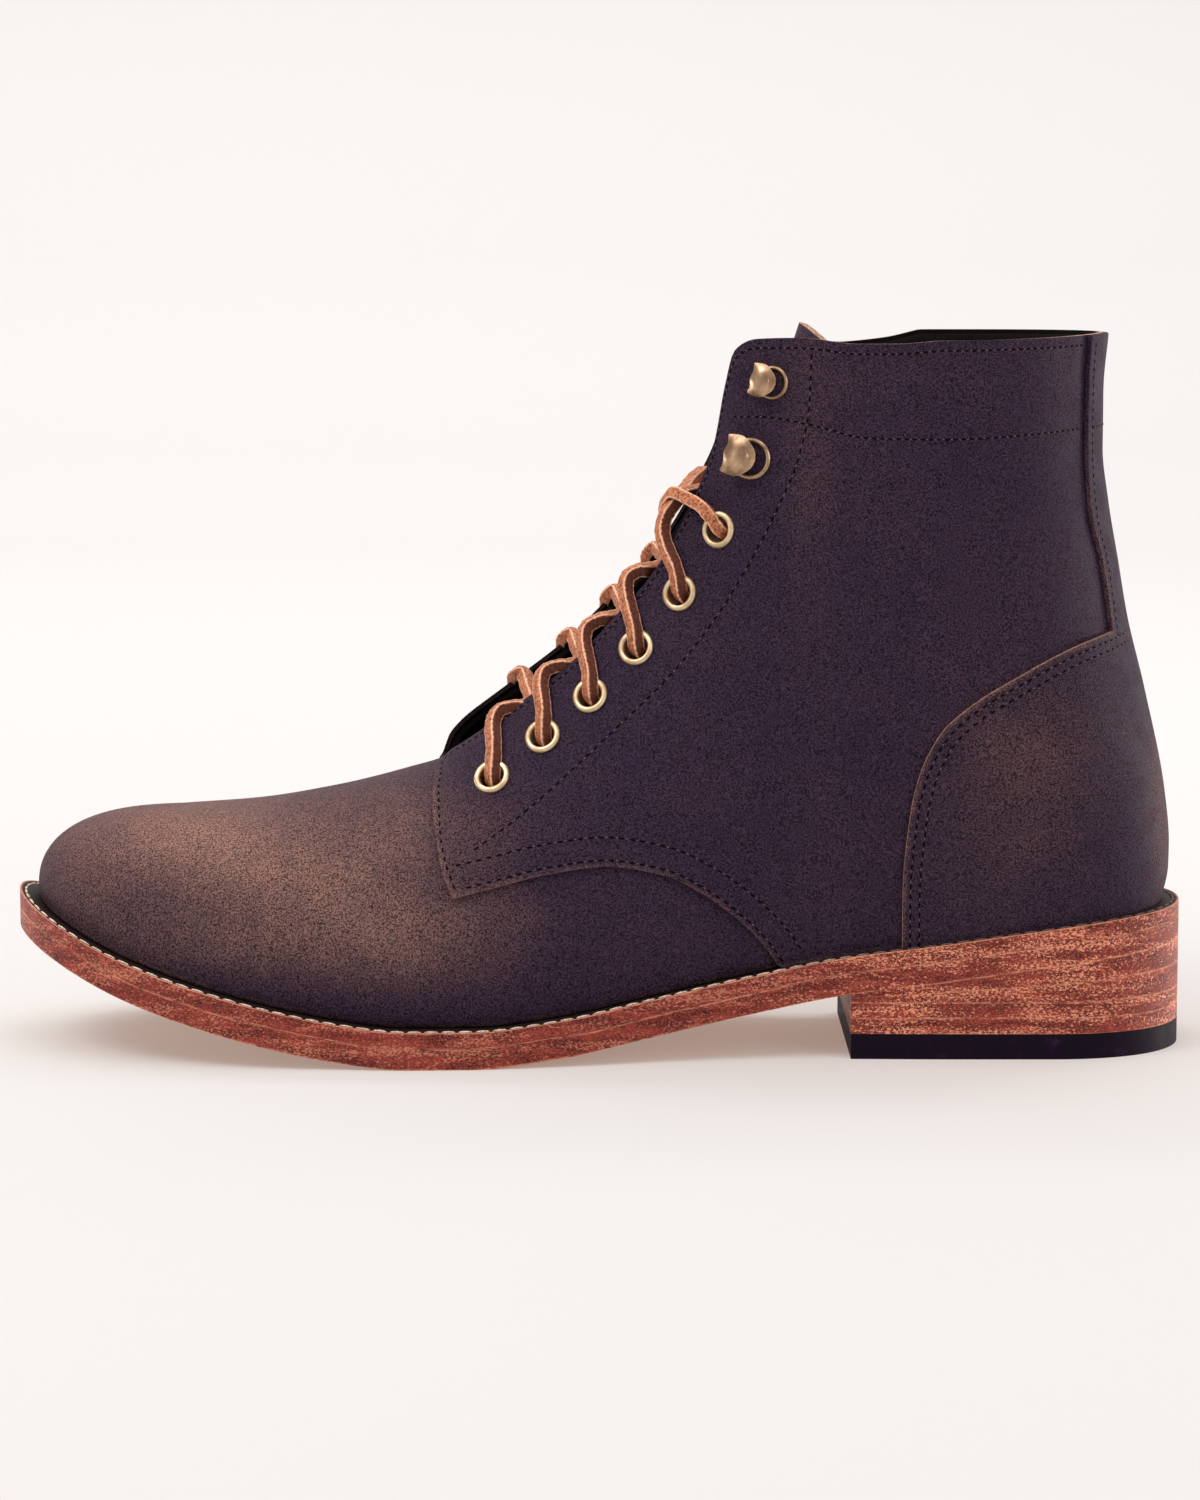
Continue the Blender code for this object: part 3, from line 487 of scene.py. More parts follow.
def last(u, v, side):
    """Point on the last's surface: u runs along the foot's edge, v from the sole to the top line."""
    u, v, side = np.broadcast_arrays(np.asarray(u, float), np.asarray(v, float), np.asarray(side, float))
    foot_x, foot_y = outline(u, side, ledge(u))
    at = np.clip(foot_x, POLE_X, HEEL_ROOT)
    rib = Rib(*(from_table(RIBS, "foot", name, at) for name in Rib._fields))
    h = v * rib.open + np.sin(v * pi / 2) * (1 - rib.open)
    fall = np.clip(1 - h ** rib.n, 0.0, 1.0) ** (1 / rib.m)
    swell = rib.belly * np.sin(pi * h ** BELLY_POWER)
    heel_sine, heel_cosine = heel_turn(u, HEEL_SHAPE + (SHAFT_SHAPE - HEEL_SHAPE) * np.minimum(2 * h, 1.0))
    centre = middle(at)
    root_y = outline(np.clip(u, TOE_ROOT, HEEL_ROOT), side, ledge(u))[1]
    flat = np.where(u > HEEL_ROOT, np.abs(root_y - centre), np.abs(foot_y - centre))
    half = rib.gap + (flat - rib.gap) * fall
    reach = np.hypot(foot_x - at, foot_y - centre)
    share = fall + swell / np.maximum(reach, 1.0)
    axis = at + (rib.top_x + np.where(side > 0, rib.back, 0.0) - at) * h
    back = from_table(BACKS, "h", "x", h)
    x = np.where(foot_x < POLE_X, at + (foot_x - at) * share, axis + (back - axis) * heel_sine)
    y_toe = centre + (foot_y - centre) * share
    y = np.where(foot_x < POLE_X, y_toe, centre + side * (half + swell) * heel_cosine)
    low = welt_top(foot_x) + JOIN
    high = rib.top_z + np.where(side > 0, rib.rise, 0.0)
    high = high + (BACK_TOP - high) * heel_sine ** 2
    return np.stack((x, y, low + (high - low) * h), axis=-1)


def skin_normal(u, v, side):
    along = last(u + NORMAL_U, v, side) - last(u - NORMAL_U, v, side)
    up = last(u, np.minimum(v + NORMAL_V, 1.0), side) - last(u, np.maximum(v - NORMAL_V, 0.0), side)
    normal = np.cross(along, up) * -np.asarray(side, float)[..., None]
    on_middle = (np.asarray(u) > BACK_U - WELD) | (np.asarray(u) < TIP_U + WELD)
    normal[..., 1] = np.where(on_middle, 0.0, normal[..., 1])
    return normal / np.maximum(np.linalg.norm(normal, axis=-1, keepdims=True), NO_LENGTH)


def creases(points):
    """Depth of the soft creases at points of the upper, in side view."""
    x, z = points[..., 0], points[..., 2]
    depth = np.zeros(x.shape)
    for crease in CREASES:
        run_x, run_z = crease.x1 - crease.x0, crease.z1 - crease.z0
        t = ((x - crease.x0) * run_x + (z - crease.z0) * run_z) / (run_x ** 2 + run_z ** 2)
        near = np.clip(t, 0.0, 1.0)
        away = np.hypot(x - crease.x0 - near * run_x, z - crease.z0 - near * run_z) / crease.width
        fade = np.sin(pi * np.clip(0.1 + 0.8 * t, 0.0, 1.0))
        depth += crease.depth * fade * (1 - 0.9 * away ** 2) * np.exp(-away ** 2)
    return depth


def skin(u, v, side, lift=0.0):
    """The upper's surface, moved out by lift along its own normal and in at the creases."""
    u, v, side = np.broadcast_arrays(np.asarray(u, float), np.asarray(v, float), np.asarray(side, float))
    here = last(u, v, side)
    depth = np.asarray(lift) - creases(here)
    return here + depth[..., None] * skin_normal(u, v, side)


LOCATE_TURNS = 40
GUESS_BEHIND = 4.0    # first guess: this far behind the mark, at this share of the height
GUESS_V = 0.7
STEP_U, STEP_V = 0.05, 0.0005
MOST_U, MOST_V = 6.0, 0.08
NO_AREA = 1e-6
BACK_SHORT = 0.2


def locate(marks, side):
    """Edge distance and height share of the last at side-view marks."""
    marks = np.atleast_2d(np.asarray(marks, float))
    u = marks[:, 0] + GUESS_BEHIND
    v = np.full(len(marks), GUESS_V)
    for _ in range(LOCATE_TURNS):
        here = last(u, v, side)[:, [0, 2]]
        step_v = np.where(v > 0.5, -STEP_V, STEP_V)
        by_u = (last(u + STEP_U, v, side)[:, [0, 2]] - here) / STEP_U
        by_v = (last(u, v + step_v, side)[:, [0, 2]] - here) / step_v[:, None]
        miss = marks - here
        area = by_u[:, 0] * by_v[:, 1] - by_u[:, 1] * by_v[:, 0]
        area = np.where(np.abs(area) < NO_AREA, NO_AREA, area)
        move_u = (miss[:, 0] * by_v[:, 1] - miss[:, 1] * by_v[:, 0]) / area
        move_v = (by_u[:, 0] * miss[:, 1] - by_u[:, 1] * miss[:, 0]) / area
        u = np.clip(u + np.clip(move_u, -MOST_U, MOST_U), TIP_U, BACK_U - BACK_SHORT)
        v = np.clip(v + np.clip(move_v, -MOST_V, MOST_V), 0.0, 1.0)
    return u, v


def side_curve(marks, count=80, inside=0.0):
    """Even points on the eased curve through side-view marks, moved to its right by inside."""
    rows = np.array(marks, float)
    knots = np.concatenate(([0.0], np.cumsum(np.hypot(*np.diff(rows, axis=0).T))))
    at = np.linspace(0.0, knots[-1], count)
    points = np.stack((ease(knots, rows[:, 0], at), ease(knots, rows[:, 1], at)), axis=-1)
    run = np.gradient(points, axis=0)
    run /= np.linalg.norm(run, axis=1, keepdims=True)
    return points + inside * np.stack((run[:, 1], -run[:, 0]), axis=-1)


def trace(marks, side, inside=0.0):
    """The eased curve through side-view marks as places on the upper."""
    return np.stack(locate(side_curve(marks, inside=inside), side), axis=-1)


def rib_length(u, side):
    """Length of skin for a whole share of height, near the top line."""
    span = 0.1
    return np.linalg.norm(last(u, 1.0, side) - last(u, 1.0 - span, side), axis=-1) / span


def top_share(u, side):
    """Height share of the quarter's top edge, where the near facing is cut a little lower than the last."""
    trim = FACING_TRIM if side == LATERAL else 0.0
    return 1.0 - trim * np.interp(u, TRIM_FADE, (1.0, 0.0)) / rib_length(u, side)


# Meshes and objects

def warped_grid(bm, columns, rows, place):
    """Add a grid and put each of its points where place(column values, row values) says."""
    grid = bmesh.ops.create_grid(bm, x_segments=len(columns) - 1, y_segments=len(rows) - 1, size=1.0)
    flat = np.array([vert.co[:2] for vert in grid["verts"]])
    a = np.interp(flat[:, 0], np.linspace(-1, 1, len(columns)), columns)
    b = np.interp(flat[:, 1], np.linspace(-1, 1, len(rows)), rows)
    for vert, point in zip(grid["verts"], place(a, b)):
        vert.co = point
    return grid["verts"]


def faces_of(verts):
    return list({face for vert in verts for face in vert.link_faces})


def spread(*stops):
    """Values between named stops: each stop is a value and the number of steps up to the next."""
    values = [np.linspace(a, b, count, endpoint=False) for (a, count), (b, _) in zip(stops, stops[1:])]
    return np.concatenate(values + [[stops[-1][0]]])


def float_layer(bm, name):
    return bm.verts.layers.float.get(name) or bm.verts.layers.float.new(name)


def close_up(bm):
    """Join points that touch and turn all faces outwards."""
    bmesh.ops.remove_doubles(bm, verts=bm.verts, dist=TOUCH)
    bmesh.ops.recalc_face_normals(bm, faces=bm.faces)


def link_object(name, data):
    item = bpy.data.objects.new(name, data)
    bpy.context.scene.collection.objects.link(item)
    return item


def fit(name, mesh, materials, stands_for=()):
    """Turn a mesh into a finished object that rides with the boot."""
    mesh.shade_smooth()
    for material in materials:
        mesh.materials.append(material)
    item = link_object(name, mesh)
    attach(item, BODY)
    if stands_for:
        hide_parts(*stands_for)
    return item


def piece(name, bm, materials, stands_for=()):
    """Turn a bmesh held in millimetres into a finished object."""
    bmesh.ops.scale(bm, vec=(MM, MM, MM), verts=bm.verts)
    mesh = bpy.data.meshes.new(name)
    bm.to_mesh(mesh)
    bm.free()
    return fit(name, mesh, materials, stands_for)


CUT = 2    # place of the cut edge among the materials of a sheet


def thicken(item, thickness):
    """Give a sheet its thickness inwards, with its own materials for the inner face and the cut edge."""
    solid = item.modifiers.new("thickness", "SOLIDIFY")
    solid.thickness = thickness * MM
    solid.offset = -1.0
    solid.use_even_offset = True
    solid.use_quality_normals = True
    solid.material_offset = 1
    solid.material_offset_rim = CUT


SHARP = radians(50)


def round_edges(item, width, segments=2, material=-1):
    bevel = item.modifiers.new("rounding", "BEVEL")
    bevel.width = width
    bevel.segments = segments
    bevel.limit_method = "ANGLE"
    bevel.angle_limit = SHARP
    bevel.harden_normals = True
    bevel.material = material


def is_worn_edge(place):
    """Only the seams and the counter's edge are rubbed pale; the facings and the collar are not."""
    return place.z < WORN_LOW or (place.x > WORN_BACK and place.z < WORN_HIGH)


def mark_tones(bm):
    """Store on each point how far it is from a rubbed edge and how much it is paled by the spots of pulled
    leather and of painted highlight.
    """
    border = [vert.co.copy() for vert in bm.verts if vert.is_boundary and is_worn_edge(vert.co)]
    tree = kdtree.KDTree(len(border))
    for i, place in enumerate(border):
        tree.insert(place, i)
    tree.balance()
    rim, pull = float_layer(bm, "rim"), float_layer(bm, "pull")
    for vert in bm.verts:
        x, _, z = vert.co
        vert[rim] = min(tree.find(vert.co)[2] + FADE_RATE * max(z - WORN_FADE, 0.0), FAR_RIM)
        vert[pull] = sum(
            spot.amount * np.exp(-((x - spot.x) / spot.wide) ** 2 - ((z - spot.z) / spot.high) ** 2)
            for spot in PULLS_AND_HIGHLIGHTS
        )


# Materials

def new_material(name):
    material = bpy.data.materials.new(name)
    material.use_nodes = True
    tree = material.node_tree
    return material, tree, tree.nodes["Principled BSDF"]


def fill(tree, socket, value):
    """Link a socket to another one, or set it to a number or a colour."""
    if isinstance(value, bpy.types.NodeSocket):
        tree.links.new(value, socket)
    else:
        socket.default_value = value


def add(tree, kind, options=None, **inputs):
    """Add a node, set its options, and fill or link its inputs by name."""
    made = tree.nodes.new(kind)
    for key, value in (options or {}).items():
        setattr(made, key, value)
    for key, value in inputs.items():
        fill(tree, made.inputs[key.replace("_", " ")], value)
    return made


def mix(tree, factor, first, second):
    """Mix two colours, each a socket or a colour."""
    made = add(tree, "ShaderNodeMix", {"data_type": "RGBA"})
    fill(tree, made.inputs[0], factor)
    for index, value in ((6, first), (7, second)):
        if not isinstance(value, bpy.types.NodeSocket):
            value = (*value, 1.0)
        fill(tree, made.inputs[index], value)
    return made.outputs[2]


def math(tree, operation, first, second, clamp=False):
    made = add(tree, "ShaderNodeMath", {"operation": operation, "use_clamp": clamp})
    fill(tree, made.inputs[0], first)
    fill(tree, made.inputs[1], second)
    return made.outputs[0]


def weighed(tree, first, share, second, other_share, clamp=False):
    """Sum of two values, each times its own share."""
    first = math(tree, "MULTIPLY", first, share)
    second = math(tree, "MULTIPLY", second, other_share)
    return math(tree, "ADD", first, second, clamp)


def remap(tree, value, low, high, to_low=0.0, to_high=1.0):
    made = add(
        tree, "ShaderNodeMapRange", {"interpolation_type": "SMOOTHSTEP"},
        Value=value, From_Min=low, From_Max=high, To_Min=to_low, To_Max=to_high,
    )
    return made.outputs["Result"]


def own_place(tree):
    return tree.nodes.new("ShaderNodeTexCoord").outputs["Object"]


def along_axis(tree, axis):
    """How far a point is along one axis of the boot's own frame."""
    return add(tree, "ShaderNodeSeparateXYZ", Vector=own_place(tree)).outputs[axis]


def noise(tree, scale, detail=3.0, rough=0.55, stretch=(1.0, 1.0, 1.0)):
    place = add(tree, "ShaderNodeMapping", Vector=own_place(tree), Scale=stretch).outputs["Vector"]
    made = add(tree, "ShaderNodeTexNoise", Vector=place, Scale=scale, Detail=detail, Roughness=rough)
    return made.outputs["Fac"]


def attribute(tree, name):
    return add(tree, "ShaderNodeAttribute", {"attribute_name": name}).outputs["Fac"]


def darker(colour, share):
    return tuple(channel * share for channel in colour)


def shaded(tree, colour, shade):
    """A colour, darker or paler by a value that changes over the surface."""
    made = add(tree, "ShaderNodeVectorMath", {"operation": "SCALE"}, Vector=colour, Scale=shade)
    return made.outputs["Vector"]


def coat(tree, shader, colour, roughness, shine=0.5):
    """Set the surface's colour, roughness and gloss, each a socket or a value."""
    for name, value in (("Base Color", colour), ("Roughness", roughness), ("Specular IOR Level", shine)):
        fill(tree, shader.inputs[name], value)


def bump(tree, shader, height, strength, distance, below=None):
    made = add(tree, "ShaderNodeBump", Height=height, Strength=strength, Distance=distance)
    if below is not None:
        tree.links.new(below, made.inputs["Normal"])
    tree.links.new(made.outputs["Normal"], shader.inputs["Normal"])
    return made.outputs["Normal"]


def nubuck(name):
    """Oiled nubuck: cloudy dark brown, paler near a cut edge and at the pale spots, with a short nap. The
    spots are pulled leather, except the lower vamp and back edge, which are painted highlight, and the toe
    top, which partly is.
    """
    material, tree, shader = new_material(name)
    palette = colours()
    cloud = remap(tree, noise(tree, 30.0, 4.0, 0.6), 0.35, 0.72)
    blotch = remap(tree, noise(tree, 150.0), 0.30, 0.75)
    nap = noise(tree, 2300.0, 2.0, 0.8)
    uneven = weighed(tree, cloud, 0.6, blotch, 0.4)
    # Pale spots: pulled leather, and painted highlights on the toe top, lower vamp and back edge
    tone = math(tree, "MULTIPLY", attribute(tree, "pull"), remap(tree, uneven, 0.0, 1.0, 0.95, 1.35))
    tone = math(tree, "ADD", tone, math(tree, "MULTIPLY", uneven, 0.05))
    worn = remap(tree, attribute(tree, "rim"), 0.3, 1.6, 0.15, 0.0)
    worn = math(tree, "MULTIPLY", worn, math(tree, "ADD", blotch, 0.5))
    tone = math(tree, "ADD", tone, worn, clamp=True)
    colour = mix(tree, tone, palette.leather_dark, palette.leather_light)
    colour = shaded(tree, colour, remap(tree, nap, 0.34, 0.66, 0.12, 2.03))
    coat(tree, shader, colour, remap(tree, blotch, 0.0, 1.0, 0.60, 0.74), 0.07)
    shader.inputs["Sheen Weight"].default_value = 0.02
    shader.inputs["Sheen Roughness"].default_value = 0.5
    shader.inputs["Sheen Tint"].default_value = (0.75, 0.55, 0.45, 1.0)
    grain = bump(tree, shader, noise(tree, 420.0), 0.25, 0.0004)
    bump(tree, shader, nap, 0.55, 0.00022, grain)
    return material


def fibrous(name, colour, dark, scale, roughness, shine):
    """Leather with open fibres in one colour."""
    material, tree, shader = new_material(name)
    fibre = noise(tree, scale, 4.0, 0.7)
    colour = mix(tree, remap(tree, fibre, 0.35, 0.65), darker(colour, dark), colour)
    coat(tree, shader, colour, roughness, shine)
    bump(tree, shader, fibre, 0.5, 0.0003)
    return material


def cut_edge(name):
    """Cut edge of the panels: brown fibres, dyed dark at the facings and paler at the collar."""
    material, tree, shader = new_material(name)
    palette = colours()
    fibre = noise(tree, 1100.0, 4.0, 0.7)
    height = along_axis(tree, "Z")
    before_collar = remap(tree, along_axis(tree, "X"), 0.050, 0.060, 1.0, 0.0)
    facing = math(tree, "MULTIPLY", remap(tree, height, 0.070, 0.077), before_collar)
    colour = mix(tree, facing, palette.raw_edge, palette.facing_edge)
    colour = mix(tree, remap(tree, height, 0.178, 0.185), colour, palette.collar_edge)
    colour = shaded(tree, colour, remap(tree, fibre, 0.34, 0.66, 0.45, 1.25))
    coat(tree, shader, colour, 0.8, 0.02)
    bump(tree, shader, fibre, 0.5, 0.0003)
    return material


def waxed_edge(name):
    """Waxed sole edge: red brown, mottled along the layers, with pale fibres and worn lines."""
    material, tree, shader = new_material(name)
    palette = colours()
    along = (1.0, 1.0, 4.5)
    mottle = remap(tree, noise(tree, 85.0, 5.0, 0.66, along), 0.36, 0.66)
    pores = remap(tree, noise(tree, 1700.0, 2.0, 0.6, (1.0, 1.0, 2.2)), 0.41, 0.60)
    tone = weighed(tree, mottle, 0.45, pores, 0.60, clamp=True)
    colour = mix(tree, tone, palette.sole_dark, palette.sole_light)
    speck = noise(tree, 1200.0, 3.0, 0.80, (1.0, 1.0, 1.7))
    worn = remap(tree, noise(tree, 42.0, 4.0, 0.6, (1.0, 1.0, 7.0)), 0.36, 0.64, 0.595, 0.475)
    fleck = remap(tree, math(tree, "SUBTRACT", speck, worn), 0.0, 0.07, 0.0, 0.90)
    behind = remap(tree, along_axis(tree, "X"), 0.030, 0.090, 0.55, 1.15)
    colour = mix(tree, math(tree, "MULTIPLY", fleck, behind), colour, palette.sole_fleck_and_glint)
    wave = math(tree, "MULTIPLY", math(tree, "SUBTRACT", noise(tree, 38.0), 0.5), 0.30)
    level = math(tree, "ADD", attribute(tree, "level"), wave)
    line = math(tree, "PINGPONG", math(tree, "ADD", level, 0.5), 0.5)
    line = remap(tree, line, 0.41, 0.50, 0.0, 0.65)
    broken = remap(tree, noise(tree, 260.0, 4.0, 0.75, along), 0.34, 0.60)
    colour = mix(tree, math(tree, "MULTIPLY", line, broken), colour, palette.sole_fleck_and_glint)
    coat(tree, shader, colour, remap(tree, pores, 0.0, 1.0, 0.36, 0.55), 0.14)
    bump(tree, shader, math(tree, "ADD", pores, mottle), 0.35, 0.0003)
    return material


def welt_top_and_rim_glint(name):
    """Dark colour on the welt's upward faces, with a painted highlight along its outer rim."""
    material, tree, shader = new_material(name)
    palette = colours()
    fibre = noise(tree, 700.0, 4.0, 0.7)
    colour = mix(tree, remap(tree, fibre, 0.35, 0.65), darker(palette.welt_top, 0.6), palette.welt_top)
    # Painted highlight: a pale band along the welt's outer rim, standing in for rim light
    colour = mix(tree, remap(tree, attribute(tree, "rim"), 0.1, 0.8, 0.8, 0.0), colour, palette.sole_fleck_and_glint)
    coat(tree, shader, colour, 0.6, 0.15)
    bump(tree, shader, fibre, 0.5, 0.0003)
    return material


def tread_leather(name):
    """Smooth natural sole leather, scuffed on the tread."""
    material, tree, shader = new_material(name)
    palette = colours()
    scuff = remap(tree, noise(tree, 45.0, 5.0, 0.65, (1.0, 2.5, 1.0)), 0.35, 0.7)
    pores = noise(tree, 1200.0, 3.0, 0.7)
    tone = weighed(tree, scuff, 0.7, pores, 0.4, clamp=True)
    coat(tree, shader, mix(tree, tone, darker(palette.tread, 0.55), palette.tread), 0.55)
    bump(tree, shader, pores, 0.25, 0.0002)
    return material


def black_rubber(name):
    """Matt rubber with a little dust."""
    material, tree, shader = new_material(name)
    dust = noise(tree, 240.0, 5.0, 0.7)
    dusty = tuple(channel * 4.0 for channel in colours().rubber)
    colour = mix(tree, remap(tree, dust, 0.55, 0.8), colours().rubber, dusty)
    coat(tree, shader, colour, remap(tree, dust, 0.3, 0.8, 0.5, 0.7), 0.08)
    bump(tree, shader, noise(tree, 900.0), 0.2, 0.0002)
    return material


def brass(name, bright, dark, roughness):
    """Brass with patches of patina on brighter metal."""
    material, tree, shader = new_material(name)
    patina = remap(tree, noise(tree, 260.0, 5.0, 0.6), 0.28, 0.70)
    colour = mix(tree, patina, dark, bright)
    coat(tree, shader, colour, remap(tree, patina, 0.0, 1.0, roughness + 0.16, roughness))
    shader.inputs["Metallic"].default_value = 1.0
    bump(tree, shader, noise(tree, 900.0), 0.06, 0.0001)
    return material


def rawhide(name):
    """Rawhide lace: fuzzy tan sides, one smooth grain side darkened further as painted shade, and painted
    highlights on its corners.
    """
    material, tree, shader = new_material(name)
    palette = colours()
    grain = noise(tree, 1300.0, 4.0, 0.75)
    fuzzy = mix(tree, remap(tree, grain, 0.38, 0.60), darker(palette.lace, 0.30), palette.lace)
    smooth = mix(tree, remap(tree, grain, 0.40, 0.62), darker(palette.lace_grain_and_shade, 0.55), palette.lace_grain_and_shade)
    # One side of the lace is its grain, painted dark also as shade
    colour = mix(tree, attribute(tree, "grain_side"), fuzzy, smooth)
    uneven = math(tree, "SUBTRACT", grain, 0.5)
    # Painted highlight on the lace's corners
    edge = remap(tree, math(tree, "ADD", attribute(tree, "corner"), uneven), 0.62, 0.98)
    colour = mix(tree, edge, colour, palette.lace_corner_glint)
    coat(tree, shader, colour, remap(tree, grain, 0.3, 0.7, 0.62, 0.45), 0.15)
    bump(tree, shader, grain, 0.60, 0.0004)
    return material


def thread(name, colour, shine, heel=None):
    """Twisted thread; a heel colour takes over behind the arch."""
    material, tree, shader = new_material(name)
    twist = noise(tree, 1600.0, 2.0)
    if heel:
        colour = mix(tree, remap(tree, along_axis(tree, "X"), 0.040, 0.080), colour, heel)
    colour = shaded(tree, colour, remap(tree, twist, 0.35, 0.65, 0.5, 1.0))
    coat(tree, shader, colour, 0.6, shine)
    bump(tree, shader, twist, 0.3, 0.0002)
    return material


def finish_of(name, make, *settings):
    """A material made once and then shared by its pieces."""
    found = bpy.data.materials.get(name)
    return found if found else make(name, *settings)


def upper_leather():
    return finish_of("oiled_nubuck", nubuck)


def lining_leather():
    return finish_of("dark_lining", fibrous, tuple(colours().lining), 0.6, 500.0, 0.9, 0.08)


def raw_edge():
    return finish_of("raw_edge", cut_edge)


# Panels of the upper

def edge_function(points, key):
    """A place on the upper for each share of an edge, shared out by u (0) or v (1)."""
    points = np.asarray(points, float)
    share = (points[:, key] - points[0, key]) / (points[-1, key] - points[0, key])
    return lambda t: np.stack((np.interp(t, share, points[:, 0]), np.interp(t, share, points[:, 1])), axis=-1)


def patch(bottom, top, left, right):
    """Places inside four edges given as points; bottom and top are shared out by u, left and right by v."""
    bottom, top = edge_function(bottom, 0), edge_function(top, 0)
    left, right = edge_function(left, 1), edge_function(right, 1)
    corner = {(i, j): (top if j else bottom)(float(i)) for i in (0, 1) for j in (0, 1)}

    def place(a, b):
        a1, b1 = a[:, None], b[:, None]
        rows = (1 - b1) * bottom(a) + b1 * top(a)
        columns = (1 - a1) * left(b) + a1 * right(b)
        flat = (1 - a1) * ((1 - b1) * corner[0, 0] + b1 * corner[0, 1])
        flat = flat + a1 * ((1 - b1) * corner[1, 0] + b1 * corner[1, 1])
        return rows + columns - flat

    return place


def vamp_place(side):
    """Vamp: as the last is, but ending just under the quarter's top edge behind the throat."""
    def place(u, v):
        top = np.where(u > THROAT_U, top_share(u, side) - EDGE_SHORT, 1.0)
        return np.stack((u, v * top), axis=-1)

    return place


CORNER_END = {LATERAL: -37.5, MEDIAL: -40.0}    # where the round corner at the throat meets the top line
SOLE_START = 1.5    # the quarter's sole line starts this far behind its seam
COUNTER_PEAK = 0.012    # share of the height by which the counter rises at the back


def quarter_place(side):
    """Quarter: front edge, seam and sole line, back seam and top line."""
    front = trace(QUARTER_FRONT, side)
    seam = trace(QUARTER_SEAM, side)
    start = front[-1]
    rounding = np.linspace(0.0, 1.0, 14)
    meet_u = CORNER_END[side]
    corner_u = start[0] + (meet_u - start[0]) * rounding
    corner_v = start[1] + (top_share(meet_u, side) - start[1]) * np.sin(rounding * pi / 2)
    along = np.linspace(meet_u, BACK_U, 90)[1:]
    top_u = np.concatenate((corner_u, along))
    top_v = np.concatenate((corner_v, top_share(along, side)))
    bottom = np.concatenate((seam, [(seam[-1, 0] + SOLE_START, 0.0), (BACK_U, 0.0)]))
    back = [(BACK_U, 0.0), (BACK_U, 1.0)]
    return patch(bottom, np.stack((top_u, top_v), axis=-1), front, back)


def counter_place(side):
    """Counter: sole line, top edge, front edge and back line."""
    points = side_curve(COUNTER_EDGE)
    bend = int(np.argmin(np.hypot(*(points - COUNTER_BEND).T)))
    edge = np.stack(locate(points, side), axis=-1)
    front, top = edge[:bend + 1], edge[bend:]
    front[0, 1] = 0.0
    top = np.concatenate((top, [(BACK_U, top[-1, 1] + COUNTER_PEAK)]))
    return patch([front[0], (BACK_U, 0.0)], top, front, [(BACK_U, 0.0), top[-1]])


def backstay_place(side):
    """Backstay: from under the counter's top edge to the collar, its halves meeting in one back line."""
    edge = trace(BACKSTAY_EDGE, side)
    edge[-1, 1] = 1.0
    back = [(BACK_U, trace(BACKSTAY_EDGE, LATERAL)[0, 1]), (BACK_U, 1.0)]
    return patch([edge[0], back[0]], [edge[-1], back[1]], edge, back)


def skin_sheet(bm, columns, rows, side, lift, place):
    """Add one side of a panel, facing out."""
    def point(a, b):
        u, v = place(a, b).T
        return skin(u, v, side, lift)

    verts = warped_grid(bm, columns, rows, point)
    if side == MEDIAL:
        bmesh.ops.reverse_faces(bm, faces=faces_of(verts))


def on_upper(u, v, side, lift):
    """Points on the upper and their outward directions."""
    sides = np.full(np.shape(u), float(side))
    return skin(u, v, sides, lift), skin_normal(u, v, sides)


def seats(marks, side, lift):
    """Points and outward directions on the upper at side-view marks."""
    return on_upper(*locate(marks, side), side, lift)


PUNCH = 3.9
PUNCH_DEPTH = 6.0


def punch(bm, centre, direction, radius):
    """Open a round hole in a sheet and pull its border to a circle."""
    centre, direction = Vector(centre), Vector(direction)

    def offset(place):
        away = place - centre
        along = away.dot(direction)
        return along, away - along * direction

    inside = set()
    for vert in bm.verts:
        along, flat = offset(vert.co)
        if abs(along) < PUNCH_DEPTH and flat.length < radius:
            inside.add(vert)
    border = {other for vert in inside for face in vert.link_faces for other in face.verts} - inside
    bmesh.ops.delete(bm, geom=list(inside), context="VERTS")
    for vert in border:
        _, flat = offset(vert.co)
        vert.co += flat.normalized() * (radius - flat.length)


def punch_eyelets(bm, side, lift):
    for centre, direction in zip(*seats(EYELET_MARKS, side, lift)):
        punch(bm, centre, direction, PUNCH)


PLY_GAP = 0.05    # left between a panel and the one under it


def leather_sheet(name, bm, thickness, nodes=(), edge=None, rounded=True):
    """Finish a panel as leather with a lining, a cut edge and its thickness."""
    mark_tones(bm)
    materials = (upper_leather(), lining_leather(), edge or raw_edge())
    sheet = piece(name, bm, materials, nodes)
    thicken(sheet, thickness)
    if rounded:
        round_edges(sheet, sizes().edge_round, material=CUT)


def make_vamp():
    """The vamp and the wall behind the quarters, open at collar, throat and underneath."""
    columns = spread((TIP_U, 74), (TOE_ROOT, 20), (THROAT_U, 92), (60.0, 36), (HEEL_ROOT, 40), (BACK_U, 0))
    rows = np.linspace(0.0, 1.0, 70)
    bm = bmesh.new()
    for side in BOTH_SIDES:
        skin_sheet(bm, columns, rows, side, 0.0, vamp_place(side))
    bmesh.ops.remove_doubles(bm, verts=bm.verts, dist=WELD)
    for side in BOTH_SIDES:
        punch_eyelets(bm, side, 0.0)
    leather_sheet("vamp", bm, WALL, ("upper",), lining_leather(), rounded=False)


def make_quarters():
    """The two quarters, sewn over the vamp and open at the throat."""
    columns = spread((0.0, 100), (0.5, 90), (1.0, 0))
    rows = np.linspace(0.0, 1.0, 96)
    for side, word in SIDE_NAMES.items():
        bm = bmesh.new()
        skin_sheet(bm, columns, rows, side, QUARTER_STEP, quarter_place(side))
        punch_eyelets(bm, side, QUARTER_STEP)
        leather_sheet(f"quarter_{word}", bm, QUARTER_STEP - PLY_GAP)


